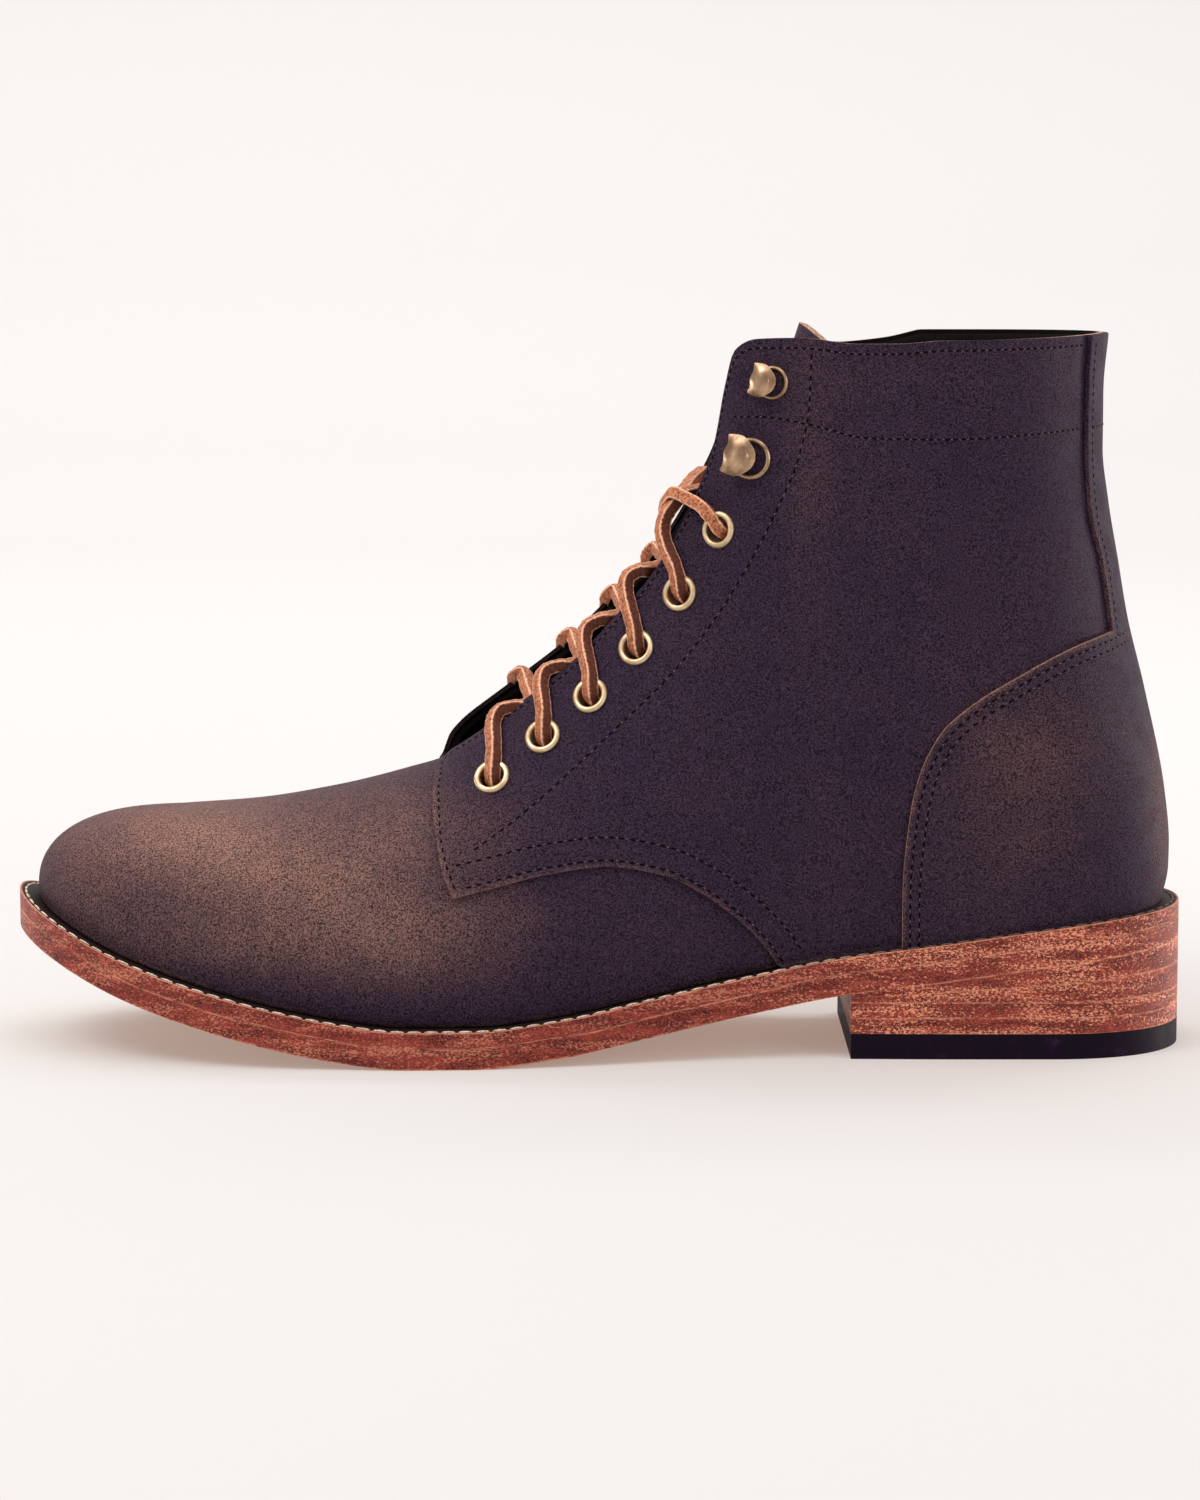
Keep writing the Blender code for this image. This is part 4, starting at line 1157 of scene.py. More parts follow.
def make_overlay(name, node, place, columns, edge):
    """A panel over the quarters that runs round the back as one piece, with so many columns on each side."""
    across, up = np.linspace(0.0, 1.0, columns), np.linspace(0.0, 1.0, 60)
    bm = bmesh.new()
    for side in BOTH_SIDES:
        skin_sheet(bm, across, up, side, OVERLAY_OUT, place(side))
    bmesh.ops.remove_doubles(bm, verts=bm.verts, dist=WELD)
    leather_sheet(name, bm, OVERLAY_OUT - QUARTER_STEP - PLY_GAP, (node,), edge)


def tongue_place(a, b):
    """Tongue surface: a runs across it from edge to edge, b from the throat to the tip."""
    rows = np.array(TONGUE, float)
    knots = np.concatenate(([0.0], np.cumsum(np.hypot(*np.diff(rows[:, :2], axis=0).T))))
    at = b * (1 - TONGUE_ROUND * np.abs(a) ** 2.5) * knots[-1]
    x, z, half, fall = (ease(knots, rows[:, i], at) for i in range(4))
    ahead = np.minimum(at + 1.0, knots[-1])
    behind = ahead - 2.0
    run = [ease(knots, rows[:, i], ahead) - ease(knots, rows[:, i], behind) for i in (0, 1)]
    length = np.hypot(*run)
    drop = fall * (a * half) ** 2
    return np.stack((x + drop * run[1] / length, middle(x) + a * half, z - drop * run[0] / length), axis=-1)


def make_tongue():
    """The tongue, under the facings and the lace."""
    bm = bmesh.new()
    verts = warped_grid(bm, np.linspace(-1, 1, 44), np.linspace(0, 1, 110), tongue_place)
    bmesh.ops.reverse_faces(bm, faces=faces_of(verts))
    leather_sheet("tongue_leather", bm, TONGUE_THICK, ("tongue",))


# Bottom stock

SEAM = 0.04    # what still shows between two layers pressed together
EDGE_U = spread((TIP_U, 110), (TOE_ROOT, 90), (HEEL_ROOT, 50), (BACK_U, 0))
HEEL_U = spread((HEEL_BREAST, 26), (HEEL_ROOT, 50), (BACK_U, 0))
SLAB_ROWS = 9
FLAT = 0.6    # a face whose normal is this upright counts as a top or an underside


def raise_slab(bm, height, levels=(0.0, 1.0)):
    """Close a sheet into a slab whose new face follows height(x), and store the two faces' levels."""
    level = float_layer(bm, "level")
    for vert in bm.verts:
        vert[level] = levels[0]
    sweep = bmesh.ops.extrude_face_region(bm, geom=bm.faces[:])
    for part in sweep["geom"]:
        if isinstance(part, bmesh.types.BMVert):
            part.co.z = float(height(part.co.x))
            part[level] = levels[1]
    bmesh.ops.recalc_face_normals(bm, faces=bm.faces)


def slab(name, u_values, low, high, materials, stands_for):
    """A piece of the bottom stock with the sole's outline, between two height lines."""
    def place(u, side):
        x, lateral = outline(u, LATERAL)
        medial = outline(u, MEDIAL)[1]
        return np.stack((x, lateral + (medial - lateral) * (side + 1) / 2, low(x)), axis=-1)

    bm = bmesh.new()
    warped_grid(bm, u_values, np.linspace(LATERAL, MEDIAL, SLAB_ROWS), place)
    bmesh.ops.remove_doubles(bm, verts=bm.verts, dist=WELD)
    raise_slab(bm, high)
    for face in bm.faces:
        face.material_index = 1 if len(materials) > 1 and face.normal.z < -FLAT else 0
    item = piece(name, bm, materials, stands_for)
    round_edges(item, sizes().sole_round, 3)


FLAT_LIFTS = 2    # lower lifts of one thickness; the ones above are wedges
FLAT_LIFT = 4.2


def lift_line(joint, shift):
    """Height line of a joint of the heel, counted from the top lift up to the sole."""
    low = TOP_LIFT_THICK + JOIN
    wedges = low + FLAT_LIFTS * FLAT_LIFT
    if joint <= FLAT_LIFTS:
        return lambda x: low + joint * FLAT_LIFT + shift + 0.0 * x
    share = (joint - FLAT_LIFTS) / (HEEL_LIFTS - FLAT_LIFTS)
    return lambda x: wedges + (sole_bottom(x) - wedges) * share + shift


# Top of the welt from its rim inwards, with a shallow channel for the stitches
STITCH_INSET = 1.6
Groove = namedtuple("Groove", "inset depth")
GROOVES = (
    Groove(0.0, 0.0),
    Groove(0.5, 0.0),
    Groove(1.0, 0.0),
    Groove(STITCH_INSET, 0.28),
    Groove(2.2, 0.0),
    Groove(4.5, 0.0),
    Groove(WELT_WIDTH, 0.0),
)


def make_welt():
    """The welt all round, dark on its upward faces, with a painted highlight along its outer rim."""
    turns = 2 * len(EDGE_U) - 1
    row_numbers = np.arange(len(GROOVES))
    insets = column(GROOVES, "inset")

    def place(turn, row):
        u = np.interp(turn, np.arange(turns), np.concatenate((EDGE_U, EDGE_U[-2::-1])))
        side = np.where(turn > len(EDGE_U) - 1, MEDIAL, LATERAL)
        x, y = outline(u, side, np.interp(row, row_numbers, insets))
        top = welt_top(x) - np.interp(row, row_numbers, column(GROOVES, "depth"))
        return np.stack((x, y, top), axis=-1)

    bm = bmesh.new()
    rim = float_layer(bm, "rim")
    verts = warped_grid(bm, np.arange(turns), row_numbers, place)
    for vert, inset in zip(verts, np.repeat(insets, turns)):
        vert[rim] = inset
    bmesh.ops.remove_doubles(bm, verts=bm.verts, dist=WELD)
    raise_slab(bm, welt_bottom, (1.0, 0.0))
    for face in bm.faces:
        face.material_index = 1 if face.normal.z > FLAT else 0
    welt_top_material = finish_of("dressed_welt", welt_top_and_rim_glint)
    welt = piece("welt_strip", bm, (sole_edge(), welt_top_material), ("welt",))
    round_edges(welt, sizes().sole_round)


def sole_edge():
    return finish_of("waxed_sole_edge", waxed_edge)


def make_bottom():
    """The outsole, the welt, the stacked heel and the finish of the insole."""
    tread = finish_of("tread_leather", tread_leather)
    slab(
        "outsole_leather", EDGE_U, sole_bottom, lambda x: welt_bottom(x) - SEAM,
        (sole_edge(), tread), ("outsole",),
    )
    make_welt()
    for i in range(HEEL_LIFTS):
        low = lift_line(i, 0.0)
        high = lift_line(i + 1, -SEAM)
        node = f"heel_lift_{i + 1}"
        slab(f"heel_stack_{i + 1}", HEEL_U, low, high, (sole_edge(),), (node,))
    slab(
        "rubber_lift", HEEL_U, lambda x: 0.0 * x, lambda x: 0.0 * x + TOP_LIFT_THICK + JOIN - SEAM,
        (finish_of("matt_rubber", black_rubber),), ("top_lift",),
    )
    board = finish_of("insole_board", fibrous, tuple(colours().insole), 0.7, 700.0, 0.6, 0.3)
    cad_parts["insole"].material_slots[0].material = board


# Stitches

def bead(segments=6, rings=4):
    """One stitch as a small rounded bead, as arrays of points and faces."""
    bm = bmesh.new()
    bmesh.ops.create_uvsphere(bm, u_segments=segments, v_segments=rings, radius=1.0)
    bmesh.ops.rotate(
        bm, verts=bm.verts, cent=(0, 0, 0), matrix=Vector((1, 0, 0)).to_track_quat("Z", "Y").to_matrix(),
    )
    points = np.array([vert.co for vert in bm.verts])
    faces = [[vert.index for vert in face.verts] for face in bm.faces]
    bm.free()
    return points, faces


def even_steps(path, pitch, between):
    """Middles and runs of even steps along a path, or the joints between the steps."""
    lengths = np.concatenate(([0.0], np.cumsum(np.linalg.norm(np.diff(path, axis=0), axis=1))))
    count = max(int(round(lengths[-1] / pitch)), 1)
    ends = np.linspace(0.0, lengths[-1], count + 1)
    at = np.stack([np.interp(ends, lengths, path[:, i]) for i in range(3)], axis=-1)
    if between:
        return at[1:-1], (at[2:] - at[:-2]) / 2
    return (at[1:] + at[:-1]) / 2, at[1:] - at[:-1]


def sew(name, rows, width, height, fill_share, material, between=False):
    """Join the stitches of all rows into one piece; a row is a path, its outward directions and pitch."""
    shape, faces = bead()
    all_points, all_faces = [], []
    for path, outward, pitch in rows:
        centres, runs = even_steps(path, pitch, between)
        normals = nearest_directions(centres, path, outward)
        long = runs / np.linalg.norm(runs, axis=1, keepdims=True)
        across = np.cross(normals, long)
        up = np.cross(long, across)
        half = np.linalg.norm(runs, axis=1) / 2 * fill_share
        for i, centre in enumerate(centres):
            basis = np.stack((long[i] * half[i], across[i] * width / 2, up[i] * height / 2))
            start = len(all_points) * len(shape)
            all_points.append(centre + shape @ basis)
            all_faces += [[start + index for index in face] for face in faces]
    mesh = bpy.data.meshes.new(name)
    mesh.from_pydata(np.concatenate(all_points) * MM, [], all_faces)
    fit(name, mesh, (material,))


def nearest_directions(centres, path, outward):
    """Outward direction at each centre, taken from the nearest point of its path."""
    away = np.linalg.norm(centres[:, None, :] - path[None, :, :], axis=2)
    return outward[np.argmin(away, axis=1)]


def row_on(places, side, lift, pitch):
    """A stitch row through places on the upper."""
    return (*on_upper(*np.asarray(places).T, side, lift), pitch)


FACING_INSET = 1.7
COLLAR_INSET = 2.6
COLLAR_TURN = (48.0, 64.0)    # where the row moves from the facing's inset to the collar's
FACING_START = -36.0
SEAM_INSET = 1.6
SECOND_INSET = 7.4
COUNTER_INSETS = (2.0, 4.4)
BACKSTAY_INSET = 1.3
BACKSTAY_BAND = Mark(126.4, 163.8)
BAND_POINTS = 12
THREAD_SINK = 0.12    # depth of the welt's thread in its channel


def top_places(side, start_u, end_u):
    """Places that keep their distance below the top edge, along the facing and the collar."""
    u = np.linspace(start_u, end_u, 260)
    away = np.interp(u, COLLAR_TURN, (FACING_INSET, COLLAR_INSET))
    return np.stack((u, top_share(u, side) - away / rib_length(u, side)), axis=-1)


def turn_corner(start, end):
    """Places round a corner, up from start and then along to end."""
    t = np.linspace(0.0, 1.0, 12)[1:, None]
    corner = np.array((start[0], end[1]))
    return (1 - t) ** 2 * start + 2 * t * (1 - t) * corner + t ** 2 * end


def panel_rows():
    """Stitch rows of the panels on both sides."""
    seam, collar = in_mm(sizes().stitch_pitch), in_mm(sizes().collar_pitch)
    rows = []
    for side in BOTH_SIDES:
        collar_end = locate([BACKSTAY_EDGE[-1]], side)[0][0] - BACKSTAY_INSET
        top = top_places(side, FACING_START, collar_end)
        front = trace(QUARTER_FRONT, side, SEAM_INSET)[3:]
        front = np.concatenate((front, turn_corner(front[-1], top[0])))
        band = locate([BACKSTAY_BAND], side)
        across = np.linspace(band[0][0], BACK_U, BAND_POINTS)
        level = np.full(BAND_POINTS, band[1][0])
        rows += [
            row_on(front, side, QUARTER_STEP, seam),
            row_on(top, side, QUARTER_STEP, collar),
            row_on(trace(QUARTER_SEAM, side, -SEAM_INSET)[3:], side, QUARTER_STEP, seam),
            row_on(trace(QUARTER_SEAM, side, -SECOND_INSET)[2:], side, QUARTER_STEP, seam),
            row_on(trace(FACING_STITCH, side), side, QUARTER_STEP, seam),
            row_on(trace(BAND_STITCH, side), side, QUARTER_STEP, collar),
            row_on(trace(BACKSTAY_EDGE, side, BACKSTAY_INSET), side, OVERLAY_OUT, collar),
            row_on(np.stack((across, level), axis=-1), side, OVERLAY_OUT, collar),
        ]
        for inset in COUNTER_INSETS:
            rows.append(row_on(trace(COUNTER_EDGE, side, inset), side, OVERLAY_OUT, seam))
    return rows


def welt_rows():
    """Stitch rows in the welt's channel."""
    rows = []
    for side in BOTH_SIDES:
        x, y = outline(EDGE_U, side, STITCH_INSET)
        path = np.stack((x, y, welt_top(x) - THREAD_SINK), axis=-1)
        rows.append((path, np.tile((0.0, 0.0, 1.0), (len(path), 1)), in_mm(sizes().welt_pitch)))
    return rows


def make_stitches():
    """Dark dashes on the panels with pale crowns between them, painted as the thread's highlights, and pale
    stitches on the welt.
    """
    palette = colours()
    rows = panel_rows()
    width = in_mm(sizes().stitch_width)
    dark = finish_of("panel_thread", thread, tuple(palette.dark_thread), 0.04)
    worn = finish_of("worn_thread", thread, tuple(palette.worn_thread), 0.3)
    waxed = finish_of("welt_thread", thread, tuple(palette.welt_thread), 0.3, tuple(palette.worn_thread))
    sew("panel_stitches", rows, width, 0.36, 0.56, dark)
    # The pale crowns are painted highlights on the thread
    sew("stitch_crowns", rows, 0.7 * width, 0.44, 0.24, worn, between=True)
    sew("welt_stitches", welt_rows(), in_mm(sizes().welt_thread), 0.9, 0.90, waxed)


# Eyelets and hooks

def set_on(verts, centre, direction, forward=None):
    """Stand points on a place of the upper, their x along forward if it is given."""
    up = Vector(direction).normalized()
    ahead = Vector(forward) if forward is not None else up.orthogonal()
    ahead = (ahead - ahead.project(up)).normalized()
    across = up.cross(ahead)
    for vert in verts:
        x, y, z = vert.co
        vert.co = Vector(centre) + ahead * x + across * y + up * z


def turned(bm, profile, steps):
    """Turn a profile of radius and height about z, as a closed ring."""
    before = set(bm.verts)
    verts = [bm.verts.new((r, 0.0, z)) for r, z in profile]
    edges = [bm.edges.new(pair) for pair in zip(verts, verts[1:] + verts[:1])]
    bmesh.ops.spin(
        bm, geom=verts + edges, axis=(0, 0, 1), cent=(0, 0, 0), angle=2 * pi, steps=steps, use_merge=True,
    )
    return [vert for vert in bm.verts if vert not in before]


EYELET_PROFILE = (
    (3.25, 0.20), (3.30, 0.66), (3.55, 0.94), (3.95, 1.02), (4.40, 0.92), (4.75, 0.58), (4.88, 0.12),
    (4.75, 0.02), (3.60, 0.02), (3.60, -3.6), (4.50, -3.7), (4.50, -4.0), (3.50, -4.1), (3.25, -3.7),
)


def make_eyelets():
    """Six rolled brass rings on each side, with their barrels through the leather."""
    metal = finish_of("eyelet_brass", brass, tuple(colours().brass), tuple(colours().brass_aged), 0.40)
    for side, word in SIDE_NAMES.items():
        bm = bmesh.new()
        for centre, direction in zip(*seats(EYELET_MARKS, side, QUARTER_STEP)):
            set_on(turned(bm, EYELET_PROFILE, 36), centre, direction)
        close_up(bm)
        nodes = [f"eyelet_{word}_{i + 1}" for i in range(len(EYELET_MARKS))]
        piece(f"eyelets_{word}", bm, (metal,), nodes)


HOOK_RING = (
    (3.6, 0.20), (3.65, 0.60), (3.95, 0.80), (4.35, 0.75), (4.7, 0.45), (4.8, 0.10), (4.7, 0.0), (3.6, 0.0),
)
HOOK_FORWARD = (-1.0, 0.0, 0.25)
HOOK_SCALES = (1.15, 0.93)
HOOK_HALF = 4.7
HOOK_LONG = 7.3
HOOK_TIP = 6.2    # how far the lip reaches towards the throat
HOOK_LOW = 1.7    # height of the dome's rim, and of its crown over that
HOOK_RISE = 2.9
HOOK_WALL = 0.7
HOOK_ROUND = 0.00018
HOOK_SHIFT = 0.8    # how far the base sits towards the throat
NECK_RADII = (2.9, 1.9)
NECK_TALL = 4.2
NECK_PLACE = (1.5, 0.0, 2.1)


def hook_shell(a, b):
    """Domed sheet of the hook: a runs from its scalloped lip at the throat to its round end, b across."""
    round_end = np.sqrt(1 - np.clip((a - 0.30) / 0.70, 0.0, 1.0) ** 2.4)
    flare = 0.90 + 0.10 * np.sin(pi * np.minimum(a / 0.8, 1.0))
    y = b * HOOK_HALF * np.maximum(flare * round_end, 0.005)
    scallop = 0.20 * np.cos(2 * pi * b) * np.clip(1 - a / 0.3, 0.0, 1.0)
    crown = np.sin(pi * (0.14 + 0.76 * a)) ** 0.8
    across = np.sqrt(1 - 0.82 * (y / HOOK_HALF) ** 2)
    height = HOOK_LOW + HOOK_RISE * crown * across
    return np.stack((HOOK_TIP - HOOK_LONG * a + scallop, y, height), axis=-1)


def hook_base(bm, grow):
    """Ring and neck of one hook, standing at the origin."""
    before = set(bm.verts)
    turned(bm, HOOK_RING, 32)
    low, high = NECK_RADII
    neck = bmesh.ops.create_cone(
        bm, cap_ends=True, segments=20, radius1=low, radius2=high, depth=NECK_TALL,
    )["verts"]
    bmesh.ops.translate(bm, vec=NECK_PLACE, verts=neck)
    verts = [vert for vert in bm.verts if vert not in before]
    bmesh.ops.scale(bm, vec=grow, verts=verts)
    bmesh.ops.translate(bm, vec=(HOOK_SHIFT, 0.0, 0.0), verts=verts)
    return verts


def make_hooks():
    """Two fixed speed hooks on each side: a ringed base and a domed sheet over it."""
    metal = finish_of("hook_brass", brass, tuple(colours().hook_metal), tuple(colours().hook_aged), 0.30)
    for side, word in SIDE_NAMES.items():
        rings, shells = bmesh.new(), bmesh.new()
        for centre, direction, size in zip(*seats(HOOK_MARKS, side, QUARTER_STEP), HOOK_SCALES):
            grow = (size, size, 1.0)
            set_on(hook_base(rings, grow), centre, direction, HOOK_FORWARD)
            verts = warped_grid(shells, np.linspace(0, 1, 33), np.linspace(-1, 1, 31), hook_shell)
            bmesh.ops.scale(shells, vec=grow, verts=verts)
            set_on(verts, centre, direction, HOOK_FORWARD)
        close_up(rings)
        bmesh.ops.remove_doubles(shells, verts=shells.verts, dist=TOUCH)
        for face in shells.faces:
            face.normal_update()
        nodes = [f"hook_{word}_{i + 1}" for i in range(len(HOOK_MARKS))]
        piece(f"hook_bases_{word}", rings, (metal,), nodes)
        domes = piece(f"hook_domes_{word}", shells, (metal,))
        wall = domes.modifiers.new("thickness", "SOLIDIFY")
        wall.thickness = HOOK_WALL * MM
        wall.offset = 1.0
        round_edges(domes, HOOK_ROUND)


# Lace

def smooth_path(points, per_span=14):
    """A smooth curve through given points."""
    points = np.asarray(points, float)
    ends = np.concatenate(([2 * points[0] - points[1]], points, [2 * points[-1] - points[-2]]))
    t = np.linspace(0.0, 1.0, per_span, endpoint=False)[:, None]
    spans = []
    for p0, p1, p2, p3 in zip(ends, ends[1:], ends[2:], ends[3:]):
        bend = 2 * p0 - 5 * p1 + 4 * p2 - p3
        twist = -p0 + 3 * p1 - 3 * p2 + p3
        spans.append(p1 + 0.5 * ((p2 - p0) * t + bend * t ** 2 + twist * t ** 3))
    return np.concatenate(spans + [points[-1:]])


def carried_frames(path, first):
    """Sideways directions carried along a path without twisting."""
    run = np.gradient(path, axis=0)
    run /= np.linalg.norm(run, axis=1, keepdims=True)
    sideways = np.empty_like(run)
    now = np.asarray(first, float)
    for i, ahead in enumerate(run):
        now = now - ahead * np.dot(now, ahead)
        now /= np.linalg.norm(now)
        sideways[i] = now
    return sideways, np.cross(run, sideways)


LACE_SIDES = 24
SQUARE = 8    # power that makes the lace's section square with soft corners


def sweep_square(bm, path, half, first, start, turn):
    """Sweep an uneven square with soft corners along a path, turning on from start to its end."""
    sideways, upward = carried_frames(path, first)
    corner, grain_side = float_layer(bm, "corner"), float_layer(bm, "grain_side")
    angles = np.linspace(0.0, 2 * pi, LACE_SIDES + 1)

    def place(step, angle):
        i = np.rint(step).astype(int)
        uneven = 1 + 0.05 * np.sin(0.6 * i) * np.cos(0.23 * i)
        square = (np.abs(np.cos(angle)) ** SQUARE + np.abs(np.sin(angle)) ** SQUARE) ** (-1 / SQUARE)
        reach = half * uneven * square
        lean = angle + start + turn * i / len(path)
        aside = path[i] + (reach * np.cos(lean))[:, None] * sideways[i]
        return aside + (reach * np.sin(lean))[:, None] * upward[i]

    verts = warped_grid(bm, np.arange(len(path)), angles, place)
    for vert, angle in zip(verts, np.repeat(angles, len(path))):
        vert[corner] = abs(np.sin(2 * angle)) ** 4
        # Marks one side of the square, which the lace's material paints dark: its grain, and painted shade
        vert[grain_side] = np.clip((-np.sin(angle) - 0.65) / 0.12, 0.0, 1.0)


Tie = namedtuple("Tie", "share fall lift")
# Way of a strand from its eyelet over the near facing: share of the run to the next eyelet, share of the
# distance from the facing's edge, and height over the facing
OVER_LATERAL_LOW = (
    Tie(0.00, 1.00, -4.5),
    Tie(0.00, 1.00, 0.6),
    Tie(0.10, 0.62, 3.0),
    Tie(0.11, 0.25, 3.0),
    Tie(0.17, 0.11, 3.0),
    Tie(0.27, 0.05, 2.6),
    Tie(0.45, 0.04, 1.0),
    Tie(0.58, 0.02, -1.4),
)
OVER_LATERAL_HIGH = (
    Tie(0.00, 1.00, -4.5),
    Tie(0.00, 1.00, 0.6),
    Tie(0.02, 0.68, 3.0),
    Tie(-0.12, 0.08, 3.0),
    Tie(-0.14, -0.22, 3.0),
    Tie(-0.07, -0.36, 2.6),
    Tie(0.10, -0.36, 1.0),
    Tie(0.20, -0.32, -1.4),
)
OVER_MEDIAL = (
    Tie(0.00, 1.00, -4.5),
    Tie(0.00, 1.00, 0.6),
    Tie(0.18, 0.85, 1.8),
    Tie(0.36, 0.55, 1.8),
    Tie(0.44, 0.24, 1.8),
    Tie(0.47, 0.04, 1.8),
    Tie(0.50, -0.10, 0.6),
    Tie(0.56, -0.12, -1.0),
)
UNDER = (
    Tie(0.70, 0.06, -4.6),
    Tie(0.86, 0.40, -5.6),
    Tie(0.96, 0.75, -5.6),
    Tie(1.00, 0.98, -5.4),
)
# The last strand folds back and comes to its eyelet over the facing instead of under it
LAST_OVER = (
    Tie(0.02, -0.60, -2.2),
    Tie(-0.19, -0.70, 0.2),
    Tie(0.08, -0.42, 2.6),
    Tie(0.39, 0.10, 3.2),
    Tie(0.68, 0.48, 3.0),
    Tie(0.87, 0.75, 2.4),
    Tie(0.99, 0.98, 0.4),
    Tie(1.00, 1.00, -4.0),
)

LACE_SINK = 1.6    # how far the lower strand of a crossing hangs towards the tongue
LACE_CLEAR = 1.2    # how far the upper strand lies over it, in half widths
SINK_WAY = np.array((0.7, 0.0, -0.7))
LACE_LEAN = pi / 4    # how the square stands at a strand's start, and how far it turns by the end
LACE_TURN = 0.5
EDGE_SPAN = 0.02    # share of height over which the facing's direction is found at its edge


def tie_point(side, start, end, tie):
    """Place of one tie of a strand between two eyelets of a side; past the edge it runs on straight."""
    (u0, v0), (u1, v1) = start, end
    u = u0 + (u1 - u0) * tie.share
    v = 1 - (1 - v0 - (v1 - v0) * tie.share) * tie.fall
    beyond = max(v - 1.0, 0.0) / EDGE_SPAN
    straight = last(u, 1.0, side) - last(u, 1.0 - EDGE_SPAN, side)
    return skin(u, min(v, 1.0), side, tie.lift) + beyond * straight


def over_lateral(height):
    """Ties of a near strand, between those of the lowest and of the highest strand."""
    low, high = np.array(OVER_LATERAL_LOW), np.array(OVER_LATERAL_HIGH)
    return [Tie(*row) for row in low + (high - low) * height]


def make_lace():
    """One rawhide lace as ten strands, from each eyelet over its facing and under the other one."""
    places = {side: np.stack(locate(EYELET_MARKS, side), axis=-1) for side in BOTH_SIDES}
    half = in_mm(sizes().lace_width) / 2
    bm = bmesh.new()
    strands = len(EYELET_MARKS) - 1
    for i in range(strands):
        for side, over in zip(BOTH_SIDES, (over_lateral(i / (strands - 1)), OVER_MEDIAL)):
            near_run = (places[side][i], places[side][i + 1])
            far_run = (places[-side][i], places[-side][i + 1])
            near = [tie_point(side, *near_run, tie) for tie in over]
            under = LAST_OVER if side == MEDIAL and i == strands - 1 else UNDER
            far = [tie_point(-side, *far_run, tie) for tie in under]
            sink = LACE_SINK if side == LATERAL else LACE_SINK - LACE_CLEAR * half
            bridge = (near[-1] + far[0]) / 2 + sink * SINK_WAY
            path = smooth_path(near + [bridge] + far)
            sweep_square(bm, path, half, (1.0, 0.6 * side, 0.3), LACE_LEAN, LACE_TURN)
    bmesh.ops.remove_doubles(bm, verts=bm.verts, dist=TOUCH)
    bmesh.ops.holes_fill(bm, edges=bm.edges, sides=0)
    bmesh.ops.recalc_face_normals(bm, faces=bm.faces)
    nodes = [f"lace_crossing_{i + 1}" for i in range(strands)]
    piece("rawhide_lace", bm, (finish_of("rawhide_tan", rawhide),), nodes)


# Stage

Light = namedtuple("Light", "name place target size watts colour")
LIGHTS = (
    Light("overhead", (-0.5, -0.3, 2.2), (-0.2, 0.0, 0.0), (3.6, 3.0), 52.5, (1.0, 0.97, 0.94)),
    Light("toe_key", (-0.7, -0.5, 1.1), (-0.10, 0.0, 0.06), (0.5, 0.5), 4.7, (1.0, 0.94, 0.88)),
    Light("backdrop", (0.0, 1.15, 1.9), (0.0, 2.1, 0.35), (3.4, 0.8), 38.0, (1.0, 0.98, 0.96)),
    Light("side_fill", (0.9, -0.9, 0.5), (0.10, 0.0, 0.08), (0.6, 0.6), 3.0, (1.0, 0.95, 0.94)),
    Light("toe_rim", (-0.85, 0.30, 0.08), (-0.15, 0.0, 0.03), (0.35, 0.15), 1.2, (1.0, 0.92, 0.86)),
    Light("heel_rim", (0.85, 0.22, 0.06), (0.15, 0.0, 0.02), (0.35, 0.10), 4.2, (1.0, 0.92, 0.86)),
    Light("rim", (0.9, 0.7, 0.7), (0.1, 0.0, 0.1), (0.4, 0.8), 2.0, (1.0, 0.88, 0.78)),
    Light("toe_fill", (-0.9, -0.6, 0.32), (-0.12, 0.0, 0.0), (0.5, 0.3), 0.8, (1.0, 0.94, 0.92)),
)

# Floor that turns up into a backdrop, in metres: its bend, its four edges and the rows of its mesh
COVE_RADIUS = 0.6
COVE_FRONT = -2.2
COVE_BACK = 2.2
COVE_HIGH = 2.6
COVE_WIDE = 3.2
COVE_TURN = np.radians((22.5, 45.0, 67.5, 90.0))
COVE_ROWS = (-1.0, 0.0, 0.25, 0.5, 0.75, 1.0, 2.0)


def area_light(setup):
    light = bpy.data.lights.new(setup.name, "AREA")
    light.shape = "RECTANGLE"
    light.size, light.size_y = setup.size
    light.energy = setup.watts
    light.color = setup.colour
    item = link_object(setup.name, light)
    item.location = setup.place
    look = Vector(setup.target) - Vector(setup.place)
    item.rotation_euler = look.to_track_quat("-Z", "Y").to_euler()


def make_floor():
    """A pale floor that turns up into a backdrop."""
    foot = COVE_BACK - COVE_RADIUS
    y = (COVE_FRONT, foot, *(foot + COVE_RADIUS * np.sin(COVE_TURN)), COVE_BACK)
    z = (0.0, 0.0, *(COVE_RADIUS - COVE_RADIUS * np.cos(COVE_TURN)), COVE_HIGH)

    def place(x, t):
        return np.stack((x, np.interp(t, COVE_ROWS, y), np.interp(t, COVE_ROWS, z)), axis=-1)

    bm = bmesh.new()
    warped_grid(bm, np.linspace(-COVE_WIDE, COVE_WIDE, 3), COVE_ROWS, place)
    mesh = bpy.data.meshes.new("floor")
    bm.to_mesh(mesh)
    bm.free()
    mesh.shade_smooth()
    material, tree, shader = new_material("pale_floor")
    coat(tree, shader, (*colours().floor, 1.0), 0.9, 0.1)
    # The floor glows faintly and evenly in a warm colour over its bluish base: lit parts add up to an even
    # white, while its shadows stay light and reddish, painted in place of light bounced from the sole
    shader.inputs["Emission Color"].default_value = (1.0, 0.71, 0.60, 1.0)
    shader.inputs["Emission Strength"].default_value = 0.33
    mesh.materials.append(material)
    floor = link_object("floor", mesh)


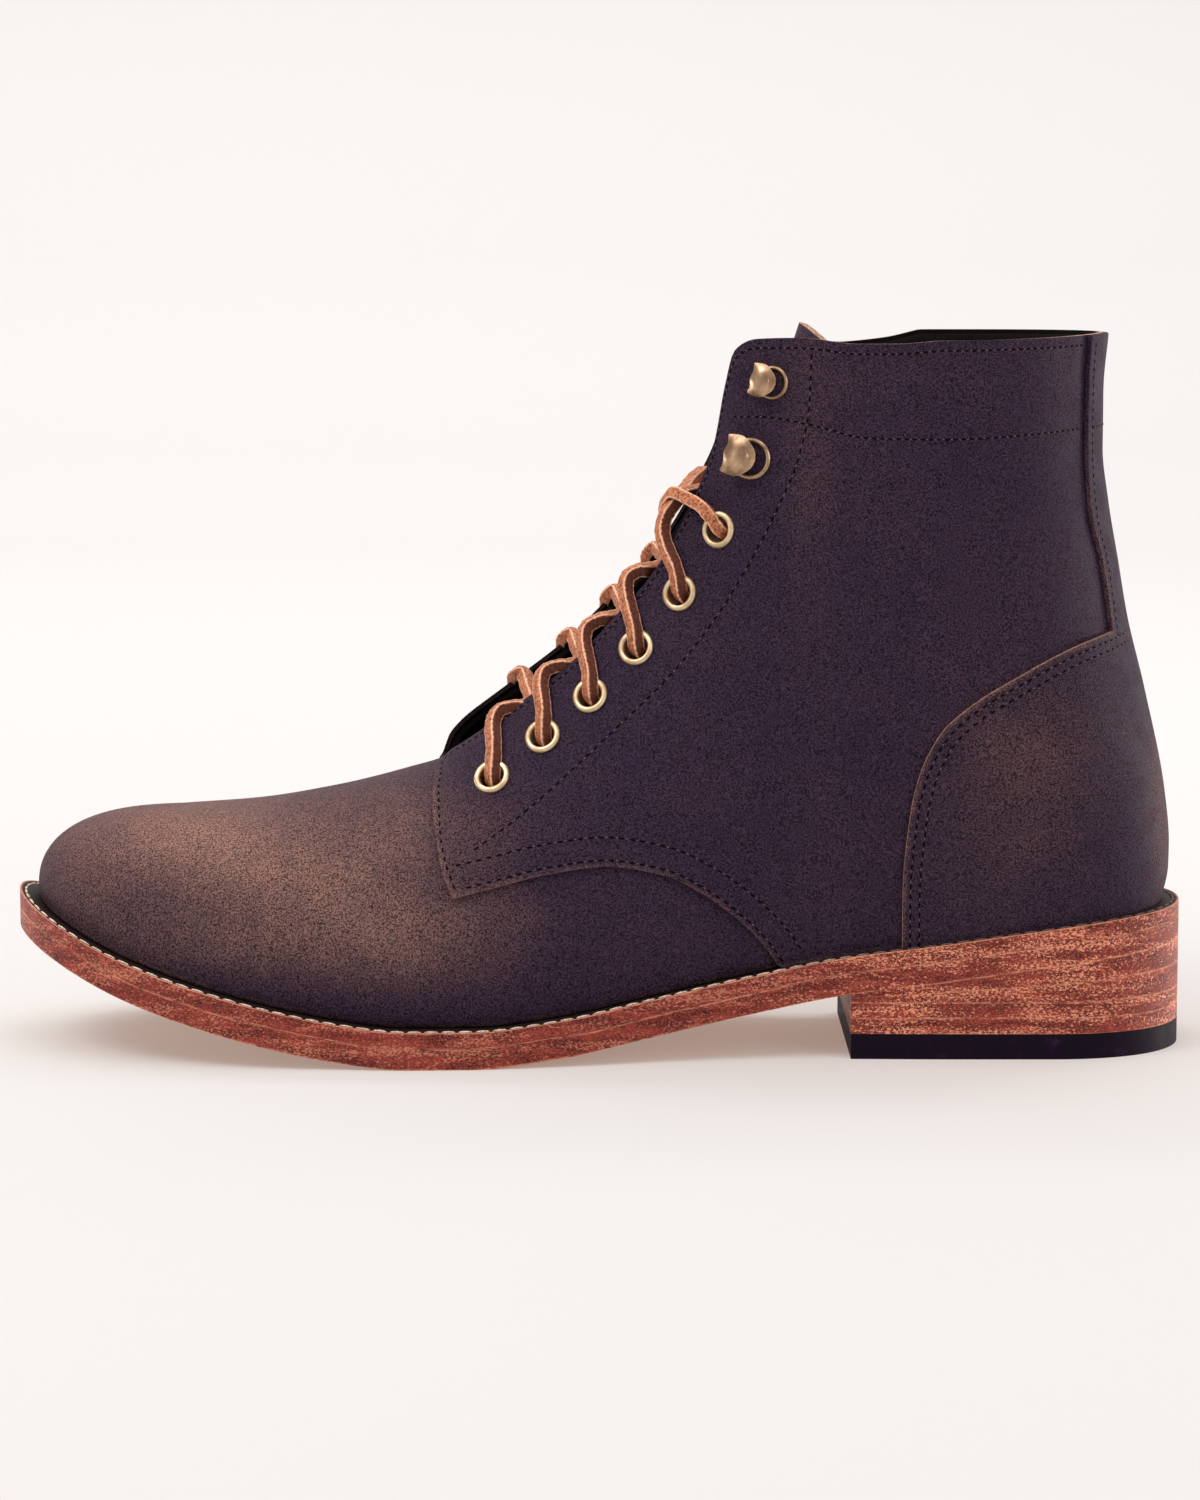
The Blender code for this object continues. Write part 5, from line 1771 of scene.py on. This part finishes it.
def make_stage():
    """The floor, a soft white world, the lights and the camera."""
    settings = bpy.context.scene.boot_stage
    make_floor()
    world = bpy.data.worlds.new("soft_white")
    world.use_nodes = True
    background = world.node_tree.nodes["Background"]
    background.inputs["Color"].default_value = (1.0, 0.97, 0.95, 1.0)
    background.inputs["Strength"].default_value = 0.50
    bpy.context.scene.world = world
    for setup in LIGHTS:
        area_light(setup)
    camera = link_object("camera", bpy.data.cameras.new("camera"))
    camera.location = settings.camera_place
    camera.rotation_euler = (pi / 2 - settings.camera_pitch, 0.0, 0.0)
    camera.data.lens = settings.camera_lens
    camera.data.sensor_width = 36.0
    bpy.context.scene.camera = camera
    bpy.context.scene.view_settings.view_transform = "Standard"


# Operators and panel

class BOOT_OT_upper(bpy.types.Operator):
    """Add the vamp, the quarters and the tongue"""

    bl_idname = "boot.upper"
    bl_label = "Upper"

    def execute(self, context):
        make_vamp()
        make_quarters()
        make_tongue()
        return {"FINISHED"}


class BOOT_OT_overlays(bpy.types.Operator):
    """Add the counter and the backstay"""

    bl_idname = "boot.overlays"
    bl_label = "Counter and Backstay"

    def execute(self, context):
        make_overlay("counter_patch", "counter", counter_place, 60, raw_edge())
        make_overlay("backstay_strip", "backstay", backstay_place, 22, upper_leather())
        return {"FINISHED"}


class BOOT_OT_bottom(bpy.types.Operator):
    """Add the welt, the outsole and the heel"""

    bl_idname = "boot.bottom"
    bl_label = "Sole and Heel"

    def execute(self, context):
        make_bottom()
        return {"FINISHED"}


class BOOT_OT_stitches(bpy.types.Operator):
    """Sew the panels and the welt"""

    bl_idname = "boot.stitches"
    bl_label = "Stitches"

    def execute(self, context):
        make_stitches()
        return {"FINISHED"}


class BOOT_OT_brass(bpy.types.Operator):
    """Add the eyelets and the hooks"""

    bl_idname = "boot.brass"
    bl_label = "Eyelets and Hooks"

    def execute(self, context):
        make_eyelets()
        make_hooks()
        return {"FINISHED"}


class BOOT_OT_lace(bpy.types.Operator):
    """Run the lace through the eyelets"""

    bl_idname = "boot.lace"
    bl_label = "Lace"

    def execute(self, context):
        make_lace()
        return {"FINISHED"}


class BOOT_OT_stage(bpy.types.Operator):
    """Add the floor, the lights and the camera"""

    bl_idname = "boot.stage"
    bl_label = "Stage"

    def execute(self, context):
        make_stage()
        return {"FINISHED"}


STEPS = (
    BOOT_OT_stage, BOOT_OT_upper, BOOT_OT_overlays, BOOT_OT_bottom,
    BOOT_OT_stitches, BOOT_OT_brass, BOOT_OT_lace,
)


class BOOT_PT_dresser(bpy.types.Panel):
    """Lists the steps that dress the boot"""

    bl_idname = "BOOT_PT_dresser"
    bl_label = "Boot Dresser"
    bl_space_type = "VIEW_3D"
    bl_region_type = "UI"
    bl_category = "Boot"

    def draw(self, context):
        for step in STEPS:
            self.layout.operator(step.bl_idname)
        for group in (context.scene.boot_sizes, context.scene.boot_colours, context.scene.boot_stage):
            box = self.layout.box()
            for name in group.__annotations__:
                box.prop(group, name)


GROUPS = {"boot_sizes": BootSizes, "boot_colours": BootColours, "boot_stage": BootStage}


def register():
    for group in (*GROUPS.values(), *STEPS, BOOT_PT_dresser):
        bpy.utils.register_class(group)
    for name, group in GROUPS.items():
        setattr(bpy.types.Scene, name, bpy.props.PointerProperty(type=group))


def unregister():
    for name in GROUPS:
        delattr(bpy.types.Scene, name)
    for group in (BOOT_PT_dresser, *reversed(STEPS), *GROUPS.values()):
        bpy.utils.unregister_class(group)


def main():
    register()
    bpy.ops.boot.stage()
    bpy.ops.boot.upper()
    bpy.ops.boot.overlays()
    bpy.ops.boot.bottom()
    bpy.ops.boot.stitches()
    bpy.ops.boot.brass()
    bpy.ops.boot.lace()


if __name__ == "__main__":
    main()
